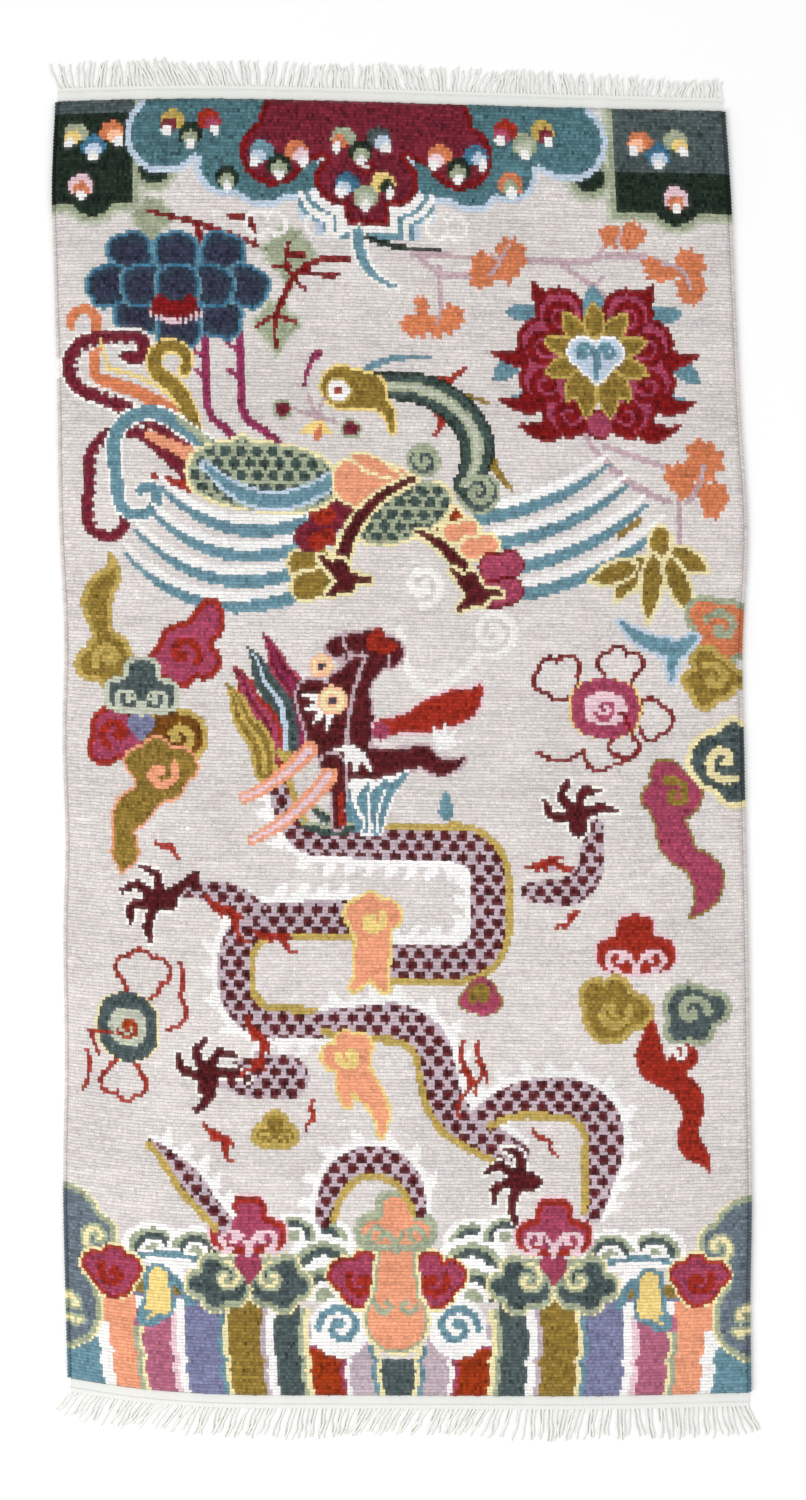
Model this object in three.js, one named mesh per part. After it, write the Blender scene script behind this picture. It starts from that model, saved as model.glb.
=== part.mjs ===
// A hand-knotted Tibetan rug, laid flat with its pile up. It is a slab of pile with soft rounded edges,
// an overcast cord along each long side, and a flat-woven cotton web with a fringe at each end.
// Millimetres, +Z up, +Y towards the head of the rug. The underside is flat at z = 0.
import * as THREE from 'three';

// Driving dimensions.
const RUG_WIDTH = 910;            // over the two overcast sides, where they run straight
const PILE_LENGTH = 1716;         // foot to head of the pile, without the webs and fringes
const PILE_THICKNESS = 11;        // foundation and sheared pile together
const PILE_SHOULDER = 5.5;        // height at which the rounded edge of the pile begins
const SELVEDGE = { wide: 5.2, high: 6, sides: 8 };
const WEB = { wide: 18, thick: 2.5, inset: 4 };
const STRAND = { count: 140, wide: 3.2, segments: 3 };
const GAP = 0.35;                 // between two solids that touch on the real rug

// How far each long side runs outwards from straight, by its share of the length from the foot.
const SIDES = [
  { share: 0.00, left: -8.6, right: 8.6 },
  { share: 0.07, left: -5.3, right: 7.3 },
  { share: 0.15, left: -2.6, right: 9.3 },
  { share: 0.25, left: -5.0, right: 6.6 },
  { share: 0.35, left: -3.0, right: 4.4 },
  { share: 0.42, left: -5.9, right: 2.0 },
  { share: 0.50, left: -2.0, right: -0.9 },
  { share: 0.58, left: -4.4, right: -3.4 },
  { share: 0.67, left: 2.4, right: 3.6 },
  { share: 0.76, left: 4.9, right: -5.3 },
  { share: 0.86, left: 9.2, right: -13.2 },
  { share: 0.93, left: 12.6, right: -18.0 },
  { share: 1.00, left: 7.9, right: -26.0 },
];

// How far each end of the pile lies towards the head from straight, by its share of the width.
const ENDS = [
  { share: 0.00, foot: 21.0, head: 0.0 },
  { share: 0.06, foot: 12.0, head: 1.8 },
  { share: 0.12, foot: 5.0, head: 3.2 },
  { share: 0.23, foot: -1.3, head: 4.0 },
  { share: 0.43, foot: -2.4, head: 0.7 },
  { share: 0.60, foot: -3.0, head: -4.0 },
  { share: 0.78, foot: -3.3, head: -8.4 },
  { share: 1.00, foot: 1.3, head: -12.6 },
];

// The rounded edge of the pile: how far below the top it lies, by the distance from the edge.
const PILE_RIM = [
  { inset: 0, drop: PILE_THICKNESS - PILE_SHOULDER },
  { inset: 1.5, drop: 2.2 },
  { inset: 4, drop: 0.8 },
  { inset: 10, drop: 0 },
];

// Soft troughs left by the folds in which the rug was stored. A crease runs along the rug (its line is a
// share of the width) or across it (a share of the length), between two shares of the other side.
const CREASES = [
  { along: true, line: 0.495, from: 0.36, to: 0.70, half: 9, depth: 0.9 },
  { along: false, line: 0.507, from: 0.60, to: 0.92, half: 8, depth: 0.7 },
  { along: false, line: 0.655, from: 0.06, to: 0.46, half: 10, depth: 0.5 },
];

// Low waves of the whole slab: height, waves over the width and over the length, and phase.
const WAVES = [
  { height: 0.45, across: 1.5, along: 2.5, phase: 0.4 },
  { height: 0.30, across: -2.5, along: 4.5, phase: 2.1 },
  { height: 0.20, across: 4.0, along: 7.0, phase: 4.4 },
];

// The lie of the strands: slant to the right in degrees and length, by the share of the width.
const HEAD_FRINGE = [
  { share: 0.00, slant: -14, length: 35 },
  { share: 0.08, slant: 4, length: 34 },
  { share: 0.17, slant: -24, length: 38 },
  { share: 0.26, slant: -8, length: 35 },
  { share: 0.40, slant: 6, length: 32 },
  { share: 0.52, slant: -10, length: 34 },
  { share: 0.64, slant: 10, length: 31 },
  { share: 0.78, slant: -5, length: 29 },
  { share: 0.90, slant: 11, length: 25 },
  { share: 1.00, slant: -4, length: 24 },
];
const FOOT_FRINGE = [
  { share: 0.00, slant: -42, length: 37 },
  { share: 0.10, slant: -36, length: 42 },
  { share: 0.22, slant: -26, length: 42 },
  { share: 0.32, slant: -12, length: 42 },
  { share: 0.44, slant: -22, length: 41 },
  { share: 0.56, slant: -30, length: 40 },
  { share: 0.68, slant: -10, length: 42 },
  { share: 0.80, slant: -3, length: 41 },
  { share: 0.92, slant: 10, length: 42 },
  { share: 1.00, slant: 20, length: 40 },
];

// A column of a table at a place between its rows, on a smooth curve through them.
function read(rows, key, column, at) {
  const last = rows.length - 1;
  let i = 0;
  while (i < last - 1 && at > rows[i + 1][key]) i += 1;
  const [a, b] = [rows[i], rows[i + 1]];
  const t = THREE.MathUtils.clamp((at - a[key]) / (b[key] - a[key]), 0, 1);
  const slope = (k) => {
    const [p, q] = [rows[Math.max(k - 1, 0)], rows[Math.min(k + 1, last)]];
    return (q[column] - p[column]) / (q[key] - p[key]) * (b[key] - a[key]);
  };
  const [m, n] = [slope(i), slope(i + 1)];
  const rise = b[column] - a[column];
  return a[column] + t * (m + t * (3 * rise - 2 * m - n + t * (m + n - 2 * rise)));
}

// A repeatable number from -1 to 1 for each index.
function scatter(index, salt) {
  const x = Math.sin(index * 127.1 + salt * 311.7) * 43758.5453;
  return 2 * (x - Math.floor(x)) - 1;
}

// Shares across a span of the given size: even steps, with lines at the insets of the rim and at creases.
function shares(count, span, creases) {
  const found = new Set();
  for (const { inset } of PILE_RIM) {
    found.add(inset / span);
    found.add(1 - inset / span);
  }
  for (const { line, half } of creases) {
    for (const offset of [-1, -0.5, 0, 0.5, 1]) found.add(line + offset * half / span);
  }
  const fixed = [...found];
  for (let i = 1; i < count; i += 1) {
    if (fixed.every((share) => Math.abs(share - i / count) > 0.3 / count)) found.add(i / count);
  }
  return [...found].sort((a, b) => a - b);
}
const ACROSS = shares(20, RUG_WIDTH, CREASES.filter((crease) => crease.along));
const ALONG = shares(36, PILE_LENGTH, CREASES.filter((crease) => !crease.along));

// The same as read, but straight between the stations of the mesh, so that solids side by side follow
// one line.
function readStraight(rows, column, stations, at) {
  let i = 0;
  while (i < stations.length - 2 && at > stations[i + 1]) i += 1;
  const [a, b] = [stations[i], stations[i + 1]];
  const [p, q] = [read(rows, 'share', column, a), read(rows, 'share', column, b)];
  return p + (q - p) * (at - a) / (b - a);
}

// The point of the rug at a share of its width and of its pile's length, with the sides drawn in by inset.
function place(u, v, inset = 0) {
  const left = -RUG_WIDTH / 2 - readStraight(SIDES, 'left', ALONG, v) + inset;
  const right = RUG_WIDTH / 2 + readStraight(SIDES, 'right', ALONG, v) - inset;
  const foot = -PILE_LENGTH / 2 + readStraight(ENDS, 'foot', ACROSS, u);
  const head = PILE_LENGTH / 2 + readStraight(ENDS, 'head', ACROSS, u);
  return new THREE.Vector2(left + u * (right - left), foot + v * (head - foot));
}

// How deep the creases are at a place.
function creaseDepth(u, v) {
  let depth = 0;
  for (const { along, line, from, to, half, depth: deepest } of CREASES) {
    const [across, run, span] = along ? [u, v, RUG_WIDTH] : [v, u, PILE_LENGTH];
    const off = Math.abs(across - line) * span / half;
    const ends = Math.sin(Math.PI * THREE.MathUtils.clamp((run - from) / (to - from), 0, 1));
    if (off < 1) depth += deepest * Math.sqrt(ends) * (1 + Math.cos(Math.PI * off)) / 2;
  }
  return depth;
}

function pileHeight(u, v) {
  const edge = Math.min(u, 1 - u) * RUG_WIDTH;
  const end = Math.min(v, 1 - v) * PILE_LENGTH;
  const inset = Math.min(edge, end);
  let i = 0;
  while (i < PILE_RIM.length - 2 && inset > PILE_RIM[i + 1].inset) i += 1;
  const [a, b] = [PILE_RIM[i], PILE_RIM[i + 1]];
  const t = THREE.MathUtils.clamp((inset - a.inset) / (b.inset - a.inset), 0, 1);
  const drop = a.drop + t * (b.drop - a.drop);
  let wave = 0;
  for (const { height, across, along, phase } of WAVES) {
    wave += height * Math.sin(2 * Math.PI * (across * u + along * v) + phase);
  }
  return PILE_THICKNESS - drop + wave * Math.min(1, inset / 30) - creaseDepth(u, v);
}

// A geometry from points and triangles.
function body(points, triangles) {
  const geometry = new THREE.BufferGeometry();
  geometry.setAttribute('position', new THREE.Float32BufferAttribute(points.flat(), 3));
  geometry.setIndex(triangles.flat());
  geometry.computeVertexNormals();
  return geometry;
}

// The slab of pile: an uneven top, a wall round it and a flat underside.
function pileGeometry() {
  const inset = SELVEDGE.wide + GAP;
  const points = [];
  const triangles = [];
  for (const v of ALONG) {
    for (const u of ACROSS) {
      const { x, y } = place(u, v, inset);
      points.push([x, y, pileHeight(u, v)]);
    }
  }
  const at = (i, j) => j * ACROSS.length + i;
  for (let j = 0; j + 1 < ALONG.length; j += 1) {
    for (let i = 0; i + 1 < ACROSS.length; i += 1) {
      triangles.push([at(i, j), at(i + 1, j), at(i + 1, j + 1)], [at(i, j), at(i + 1, j + 1), at(i, j + 1)]);
    }
  }
  const [lastU, lastV] = [ACROSS.length - 1, ALONG.length - 1];
  const rim = [];
  for (let i = 0; i < lastU; i += 1) rim.push(at(i, 0));
  for (let j = 0; j < lastV; j += 1) rim.push(at(lastU, j));
  for (let i = lastU; i > 0; i -= 1) rim.push(at(i, lastV));
  for (let j = lastV; j > 0; j -= 1) rim.push(at(0, j));
  const base = points.length;
  const outline = rim.map((index) => new THREE.Vector2(points[index][0], points[index][1]));
  outline.forEach(({ x, y }) => points.push([x, y, 0]));
  rim.forEach((top, k) => {
    const next = (k + 1) % rim.length;
    triangles.push([base + k, base + next, rim[next]], [base + k, rim[next], top]);
  });
  for (const [a, b, c] of THREE.ShapeUtils.triangulateShape(outline, [])) {
    triangles.push([base + a, base + c, base + b]);
  }
  return body(points, triangles);
}

// The overcast cord of one side. Its section is a polygon with a flat side on the floor.
function selvedgeGeometry(side) {
  const { wide, high, sides } = SELVEDGE;
  const steps = ALONG.length - 1;
  const corner = Math.cos(Math.PI / sides);
  const points = [];
  const triangles = [];
  for (let j = 0; j <= steps; j += 1) {
    const { x, y } = place(side < 0 ? 0 : 1, ALONG[j], wide / 2);
    for (let k = 0; k < sides; k += 1) {
      const turn = 2 * Math.PI * (k + 0.5) / sides;
      const z = (1 - Math.cos(turn) / corner) * high / 2;
      points.push([x + Math.sin(turn) / corner * wide / 2, y, Math.max(z, 0)]);
    }
  }
  const at = (j, k) => j * sides + (k % sides);
  for (let j = 0; j < steps; j += 1) {
    for (let k = 0; k < sides; k += 1) {
      triangles.push([at(j, k), at(j + 1, k + 1), at(j, k + 1)], [at(j, k), at(j + 1, k), at(j + 1, k + 1)]);
    }
  }
  for (let k = 1; k + 1 < sides; k += 1) {
    triangles.push([at(0, 0), at(0, k), at(0, k + 1)], [at(steps, 0), at(steps, k + 1), at(steps, k)]);
  }
  return body(points, triangles);
}

// The flat-woven web of one end with its strands, which grow out of the web's outer wall and lie on the
// floor. end is 1 at the head and -1 at the foot.
function fringeGeometry(end, lie) {
  const points = [];
  const triangles = [];
  const facing = (a, b, c) => triangles.push(end > 0 ? [a, b, c] : [a, c, b]);
  const quad = (a, b, c, d) => {
    facing(a, b, c);
    facing(a, c, d);
  };
  const pitch = 1 / STRAND.count;
  const edge = WEB.inset / RUG_WIDTH;
  const shareAt = (s) => edge + s * (1 - 2 * edge);
  const rootHalf = STRAND.wide / 2 / RUG_WIDTH;
  const stations = [shareAt(0)];
  for (let k = 0; k < STRAND.count; k += 1) {
    const middle = shareAt((k + 0.5) * pitch);
    stations.push(middle - rootHalf, middle + rootHalf);
  }
  stations.push(shareAt(1));
  const v = end > 0 ? 1 : 0;
  const wall = (u, out) => {
    const { x, y } = place(u, v);
    return [x, y + end * out];
  };
  for (const u of stations) {
    const [inner, outer] = [wall(u, GAP), wall(u, GAP + WEB.wide)];
    points.push([...inner, 0], [...inner, WEB.thick], [...outer, 0], [...outer, WEB.thick]);
  }
  const [INNER_LOW, INNER_HIGH, OUTER_LOW, OUTER_HIGH] = [0, 1, 2, 3];
  const at = (station, corner) => station * 4 + corner;
  const last = stations.length - 1;
  for (let i = 0; i < last; i += 1) {
    quad(at(i, INNER_HIGH), at(i + 1, INNER_HIGH), at(i + 1, OUTER_HIGH), at(i, OUTER_HIGH));
    quad(at(i, INNER_LOW), at(i, OUTER_LOW), at(i + 1, OUTER_LOW), at(i + 1, INNER_LOW));
    quad(at(i, INNER_LOW), at(i + 1, INNER_LOW), at(i + 1, INNER_HIGH), at(i, INNER_HIGH));
    const betweenStrands = i % 2 === 0;
    if (betweenStrands) {
      quad(at(i, OUTER_LOW), at(i, OUTER_HIGH), at(i + 1, OUTER_HIGH), at(i + 1, OUTER_LOW));
    } else {
      strand(i, (i - 1) / 2);
    }
  }
  quad(at(0, INNER_LOW), at(0, INNER_HIGH), at(0, OUTER_HIGH), at(0, OUTER_LOW));
  quad(at(last, INNER_LOW), at(last, OUTER_LOW), at(last, OUTER_HIGH), at(last, INNER_HIGH));

  function strand(station, index) {
    const share = (index + 0.5) * pitch;
    const wander = 2.2 * Math.sin(index * 0.55 + end) + 1.2 * scatter(index, end + 3);
    const start = THREE.MathUtils.degToRad(read(lie, 'share', 'slant', share) + wander);
    const bend = THREE.MathUtils.degToRad(9 * Math.sin(index * 0.23 + 2 * end));
    const length = read(lie, 'share', 'length', share) * (1 + 0.07 * scatter(index, end + 8));
    const low = at(station, OUTER_LOW);
    let [x, y] = wall((stations[station] + stations[station + 1]) / 2, GAP + WEB.wide);
    let ring = [low, low + 4, low + 5, low + 1];
    for (let step = 1; step <= STRAND.segments; step += 1) {
      const t = step / STRAND.segments;
      const turn = start + bend * t;
      x += Math.sin(turn) * length / STRAND.segments;
      y += end * Math.cos(turn) * length / STRAND.segments;
      const half = STRAND.wide / 2 * (1 - 0.4 * t * t);
      const high = WEB.thick * (1 - 0.35 * t * t);
      const [dx, dy] = [Math.cos(turn) * half, -end * Math.sin(turn) * half];
      const next = points.length;
      points.push([x - dx, y - dy, 0], [x + dx, y + dy, 0], [x + dx, y + dy, high], [x - dx, y - dy, high]);
      for (let k = 0; k < 4; k += 1) {
        const [p, q] = [k, (k + 1) % 4];
        quad(ring[p], next + p, next + q, ring[q]);
      }
      ring = [next, next + 1, next + 2, next + 3];
    }
    quad(ring[0], ring[3], ring[2], ring[1]);
  }
  return body(points, triangles);
}

const pileWool = new THREE.MeshStandardMaterial({ color: 0xcfc5c1, roughness: 0.92, metalness: 0 });
const selvedgeWool = new THREE.MeshStandardMaterial({ color: 0x8f8d8f, roughness: 0.9, metalness: 0 });
const fringeCotton = new THREE.MeshStandardMaterial({ color: 0xefeee6, roughness: 0.88, metalness: 0 });

function piece(name, geometry, material) {
  const mesh = new THREE.Mesh(geometry, material);
  mesh.name = name;
  return mesh;
}

const rug = new THREE.Group();
rug.add(
  piece('pile', pileGeometry(), pileWool),
  piece('selvedge_left', selvedgeGeometry(-1), selvedgeWool),
  piece('selvedge_right', selvedgeGeometry(1), selvedgeWool),
  piece('fringe_head', fringeGeometry(1, HEAD_FRINGE), fringeCotton),
  piece('fringe_foot', fringeGeometry(-1, FOOT_FRINGE), fringeCotton),
);

// The origin is the middle of the rug's box, on the floor.
const middle = new THREE.Box3().setFromObject(rug).getCenter(new THREE.Vector3());
rug.position.set(-middle.x, -middle.y, 0);

export default rug;
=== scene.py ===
# A hand-knotted Tibetan rug laid flat, seen from above. Metres, in the part's own frame.
import math

import bpy
import numpy as np
from bpy.props import FloatProperty, FloatVectorProperty, IntProperty, PointerProperty
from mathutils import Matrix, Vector


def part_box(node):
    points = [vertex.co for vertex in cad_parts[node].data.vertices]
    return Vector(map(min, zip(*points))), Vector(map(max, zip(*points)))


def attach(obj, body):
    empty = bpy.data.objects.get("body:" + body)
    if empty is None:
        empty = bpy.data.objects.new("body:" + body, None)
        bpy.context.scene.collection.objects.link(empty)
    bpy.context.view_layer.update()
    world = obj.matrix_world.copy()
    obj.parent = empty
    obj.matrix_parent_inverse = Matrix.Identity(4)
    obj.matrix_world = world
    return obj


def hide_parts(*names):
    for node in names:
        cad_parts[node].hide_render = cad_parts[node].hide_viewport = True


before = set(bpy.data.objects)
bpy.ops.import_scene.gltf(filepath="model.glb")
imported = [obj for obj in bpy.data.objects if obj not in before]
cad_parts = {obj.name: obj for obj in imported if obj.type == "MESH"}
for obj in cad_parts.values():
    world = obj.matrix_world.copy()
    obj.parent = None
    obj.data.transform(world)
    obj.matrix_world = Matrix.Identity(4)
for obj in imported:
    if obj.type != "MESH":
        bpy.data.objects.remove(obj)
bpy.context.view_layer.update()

bl_info = {
    "name": "Tibetan rug",
    "version": (1, 0, 0),
    "blender": (4, 5, 0),
    "location": "3D View > Sidebar > Rug",
    "description": "Knots, binds and fringes a traditional pile rug over its solids",
    "category": "Object",
}

MM = 0.001
SEED = 11

# Sizes of the part's source, in millimetres. The rug's pieces follow the same outline as its solids.
RUG_WIDTH = 910
PILE_LENGTH = 1716
PILE_THICKNESS = 11
PILE_SHOULDER = 5.5
SIDE_WIDE = 5.2
SIDE_HIGH = 6
SIDE_OVERLAP = 1.8
WEB_WIDE = 18
WEB_THICK = 2.5
WEB_INSET = 4
GAP = 0.35

# How far each long side runs outwards from straight, by its share of the length from the foot.
SIDES = {
    "share": (0.00, 0.07, 0.15, 0.25, 0.35, 0.42, 0.50, 0.58, 0.67, 0.76, 0.86, 0.93, 1.00),
    "left": (-8.6, -5.3, -2.6, -5.0, -3.0, -5.9, -2.0, -4.4, 2.4, 4.9, 9.2, 12.6, 7.9),
    "right": (8.6, 7.3, 9.3, 6.6, 4.4, 2.0, -0.9, -3.4, 3.6, -5.3, -13.2, -18.0, -26.0),
}

# How far each end of the pile lies towards the head from straight, by its share of the width.
ENDS = {
    "share": (0.00, 0.06, 0.12, 0.23, 0.43, 0.60, 0.78, 1.00),
    "foot": (21.0, 12.0, 5.0, -1.3, -2.4, -3.0, -3.3, 1.3),
    "head": (0.0, 1.8, 3.2, 4.0, 0.7, -4.0, -8.4, -12.6),
}

# The rounded edge of the pile: how far below the top it lies, by the distance from the edge.
PILE_RIM = {"inset": (0, 1.5, 4, 10), "drop": (PILE_THICKNESS - PILE_SHOULDER, 2.2, 0.8, 0)}

# Soft troughs left by folding: (runs along the rug, line, from, to, half width, depth).
CREASES = (
    (True, 0.495, 0.36, 0.70, 9, 0.9),
    (False, 0.507, 0.60, 0.92, 8, 0.7),
    (False, 0.655, 0.06, 0.46, 10, 0.5),
)

# Low waves of the whole slab: (height, waves across, waves along, phase).
WAVES = ((0.45, 1.5, 2.5, 0.4), (0.30, -2.5, 4.5, 2.1), (0.20, 4.0, 7.0, 4.4))

# The lie of the strands: slant to the right in degrees and length, by the share of the width.
HEAD_FRINGE = {
    "share": (0.00, 0.08, 0.17, 0.26, 0.40, 0.52, 0.64, 0.78, 0.90, 1.00),
    "slant": (-30, 12, -34, -12, 10, -16, 16, -10, 16, -6),
    "length": (35, 34, 38, 35, 32, 34, 31, 29, 25, 24),
}
FOOT_FRINGE = {
    "share": (0.00, 0.10, 0.22, 0.32, 0.44, 0.56, 0.68, 0.80, 0.92, 1.00),
    "slant": (-42, -36, -26, -12, -22, -30, -10, -3, 10, 20),
    "length": (37, 42, 42, 42, 41, 40, 42, 41, 42, 40),
}


def column(table, name, at):
    """A column of a table at places between its rows, on a smooth curve through them."""
    x, y = np.array(table["share"], float), np.array(table[name], float)
    at = np.clip(np.asarray(at, float), 0, 1)
    i = np.clip(np.searchsorted(x, at, side="left") - 1, 0, len(x) - 2)
    before, after = np.maximum(np.arange(len(x)) - 1, 0), np.minimum(np.arange(len(x)) + 1, len(x) - 1)
    slope = (y[after] - y[before]) / (x[after] - x[before])
    step = x[i + 1] - x[i]
    t = (at - x[i]) / step
    m, n, rise = slope[i] * step, slope[i + 1] * step, y[i + 1] - y[i]
    return y[i] + t * (m + t * (3 * rise - 2 * m - n + t * (m + n - 2 * rise)))


def place(u, v, inset=0.0):
    """Points of the rug, in millimetres from its middle, at shares of its width and of its pile's length."""
    u, v = np.broadcast_arrays(np.asarray(u, float), np.asarray(v, float))
    left = -RUG_WIDTH / 2 - column(SIDES, "left", v) + inset
    right = RUG_WIDTH / 2 + column(SIDES, "right", v) - inset
    foot = -PILE_LENGTH / 2 + column(ENDS, "foot", u)
    head = PILE_LENGTH / 2 + column(ENDS, "head", u)
    return left + u * (right - left), foot + v * (head - foot)


def pile_height(u, v):
    """How high the pile stands there, in millimetres, with its rounded edge, waves and creases."""
    inset = np.minimum(np.minimum(u, 1 - u) * RUG_WIDTH, np.minimum(v, 1 - v) * PILE_LENGTH)
    height = PILE_THICKNESS - np.interp(inset, PILE_RIM["inset"], PILE_RIM["drop"])
    for high, across, along, phase in WAVES:
        height += high * np.sin(2 * math.pi * (across * u + along * v) + phase) * np.minimum(1, inset / 30)
    for runs_along, line, start, end, half, depth in CREASES:
        off, run, span = (u, v, RUG_WIDTH) if runs_along else (v, u, PILE_LENGTH)
        near = np.clip(np.abs(off - line) * span / half, 0, 1)
        ends = np.sqrt(np.sin(math.pi * np.clip((run - start) / (end - start), 0, 1)).clip(0))
        height -= depth * ends * (1 + np.cos(math.pi * near)) / 2
    return height


def shift_to_frame():
    """What turns millimetres from the rug's middle into the frame's, found on the pile's solid."""
    low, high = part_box("pile")
    u, v = np.meshgrid(np.linspace(0, 1, 253), np.linspace(0, 1, 385))
    x, y = place(u, v, SIDE_WIDE + GAP)
    return ((low[0] + high[0]) / 2 / MM - (x.min() + x.max()) / 2,
            (low[1] + high[1]) / 2 / MM - (y.min() + y.max()) / 2)


SHIFT = shift_to_frame()


def in_frame(u, v, inset=0.0, out=0.0):
    """Points in metres in the frame. out moves them beyond the pile's end, towards the head if positive."""
    x, y = place(u, v, inset)
    return (x + SHIFT[0]) * MM, (y + out + SHIFT[1]) * MM


# The pattern's places and sizes are in centimetres from the left corner of the pile's head end.
COLUMNS, ROWS = 252, 384
CLOTH_WIDE, CLOTH_LONG = 90.0, 171.6
KNOT_WIDE, KNOT_HIGH = CLOTH_WIDE / COLUMNS, CLOTH_LONG / ROWS
KNOT_X, KNOT_Y = np.meshgrid((np.arange(COLUMNS) + 0.5) * CLOTH_WIDE / COLUMNS,
                             (np.arange(ROWS) + 0.5) * CLOTH_LONG / ROWS)
FAR = 99.0
STRIDE = 0.3

# The dyes, as the colours that they show on screen. The first is the rug's plain ground.
DYES = {
    "field": (217, 210, 207), "pale_field": (240, 237, 232), "white": (242, 240, 238), "ice": (188, 203, 220),
    "teal": (102, 139, 153), "deep_teal": (76, 112, 120), "blue": (60, 110, 138), "slate": (73, 85, 86),
    "haze": (104, 115, 126), "forest": (30, 43, 33), "deep_slate": (62, 78, 74), "sage": (160, 168, 142),
    "pale_sage": (190, 194, 176), "raspberry": (112, 33, 48), "pink": (160, 66, 92), "rose": (172, 98, 122),
    "dark_red": (118, 18, 20), "red": (152, 42, 28), "rust": (150, 52, 16), "orange": (208, 123, 83),
    "peach": (232, 156, 121), "apricot": (246, 186, 150), "yellow": (234, 206, 130), "cream": (235, 222, 172),
    "olive": (138, 113, 50), "gold": (186, 160, 86), "brown": (106, 64, 18), "maroon": (84, 26, 30),
    "lilac": (190, 172, 181), "indigo": (50, 52, 72), "deep_blue": (50, 60, 76), "lavender": (120, 122, 154),
    "mauve": (190, 165, 172), "plum": (138, 44, 84), "blush": (228, 196, 204),
}
NAMES = list(DYES)


def spread(values, count):
    """That many values, evenly spread over the given ones."""
    return np.interp(np.linspace(0, len(values) - 1, count), range(len(values)), values)


def turned(x, y, degrees, a, b):
    """Points x, y with steps a, b from them, along axes that are turned clockwise."""
    c, s = math.cos(math.radians(degrees)), math.sin(math.radians(degrees))
    return np.column_stack([x + a * c - b * s, y + a * s + b * c])


def course(x, y, heading, legs, widths):
    """Close points (x, y, width) from a place in a heading. Each leg has a length and how far it turns."""
    ways = []
    for length, turn in legs:
        count = max(round(length / STRIDE), 1)
        ways.append(heading + turn * (np.arange(count) + 0.5) / count)
        heading += turn
    ways = np.radians(np.concatenate(ways))
    x = x + STRIDE * np.concatenate([[0], np.cumsum(np.cos(ways))])
    y = y + STRIDE * np.concatenate([[0], np.cumsum(np.sin(ways))])
    return np.column_stack([x, y, spread(widths, len(x))])


# A shape is an array of each knot's distance from its edge, negative inside.
def both(*shapes):
    """The shapes together."""
    return np.minimum.reduce(shapes)


def common(*shapes):
    """Where all the shapes are."""
    return np.maximum.reduce(shapes)


def block(left, top, right, bottom):
    """The shape of an upright rectangle."""
    return common(left - KNOT_X, KNOT_X - right, top - KNOT_Y, KNOT_Y - bottom)


def ring(shape, width=0.6):
    """A line along the edge of a shape."""
    return np.abs(shape) - width / 2


def window(points, reach):
    """The knots round some points, as slices."""
    low, high = points[:, :2].min(axis=0) - reach, points[:, :2].max(axis=0) + reach
    k = np.clip(np.array([low[0], high[0]]) / CLOTH_WIDE * COLUMNS, 0, COLUMNS).astype(int)
    r = np.clip(np.array([low[1], high[1]]) / CLOTH_LONG * ROWS, 0, ROWS).astype(int)
    return slice(r[0], r[1] + 1), slice(k[0], k[1] + 1)


def along(points):
    """The shape of a stroke through close points, each with its half width."""
    shape = np.full(KNOT_X.shape, FAR)
    there = window(points, points[:, 2].max() + 2)
    dx, dy = KNOT_X[there][..., None] - points[:, 0], KNOT_Y[there][..., None] - points[:, 1]
    shape[there] = (np.hypot(dx, dy) - points[:, 2]).min(axis=-1, initial=FAR)
    return shape


def within(points):
    """The shape inside a closed outline of close points."""
    shape = np.full(KNOT_X.shape, FAR)
    there = window(points, 2)
    x, y = KNOT_X[there][..., None], KNOT_Y[there][..., None]
    a, b = points, np.roll(points, -1, axis=0)
    crosses = (a[:, 1] > y) != (b[:, 1] > y)
    slope = (b[:, 0] - a[:, 0]) / np.where(b[:, 1] == a[:, 1], 1, b[:, 1] - a[:, 1])
    inside = (crosses & (x < a[:, 0] + (y - a[:, 1]) * slope)).sum(axis=-1) % 2 == 1
    t = ((x - a[:, 0]) * (b - a)[:, 0] + (y - a[:, 1]) * (b - a)[:, 1]) / ((b - a) ** 2).sum(axis=1)
    t = t.clip(0, 1)
    off = np.hypot(x - a[:, 0] - t * (b - a)[:, 0], y - a[:, 1] - t * (b - a)[:, 1]).min(axis=-1)
    shape[there] = np.where(inside, -off, off)
    return shape


def deeper(mask, inset):
    """The knots of a mask that are farther than an inset from its edge."""
    left = mask.copy()
    for i in range(-3, 4):
        for j in range(-3, 4):
            if 0 < math.hypot(i * KNOT_WIDE, j * KNOT_HIGH) <= inset:
                left[max(j, 0):ROWS + min(j, 0), max(i, 0):COLUMNS + min(i, 0)] &= \
                    mask[max(-j, 0):ROWS + min(-j, 0), max(-i, 0):COLUMNS + min(-i, 0)]
    return left


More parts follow.
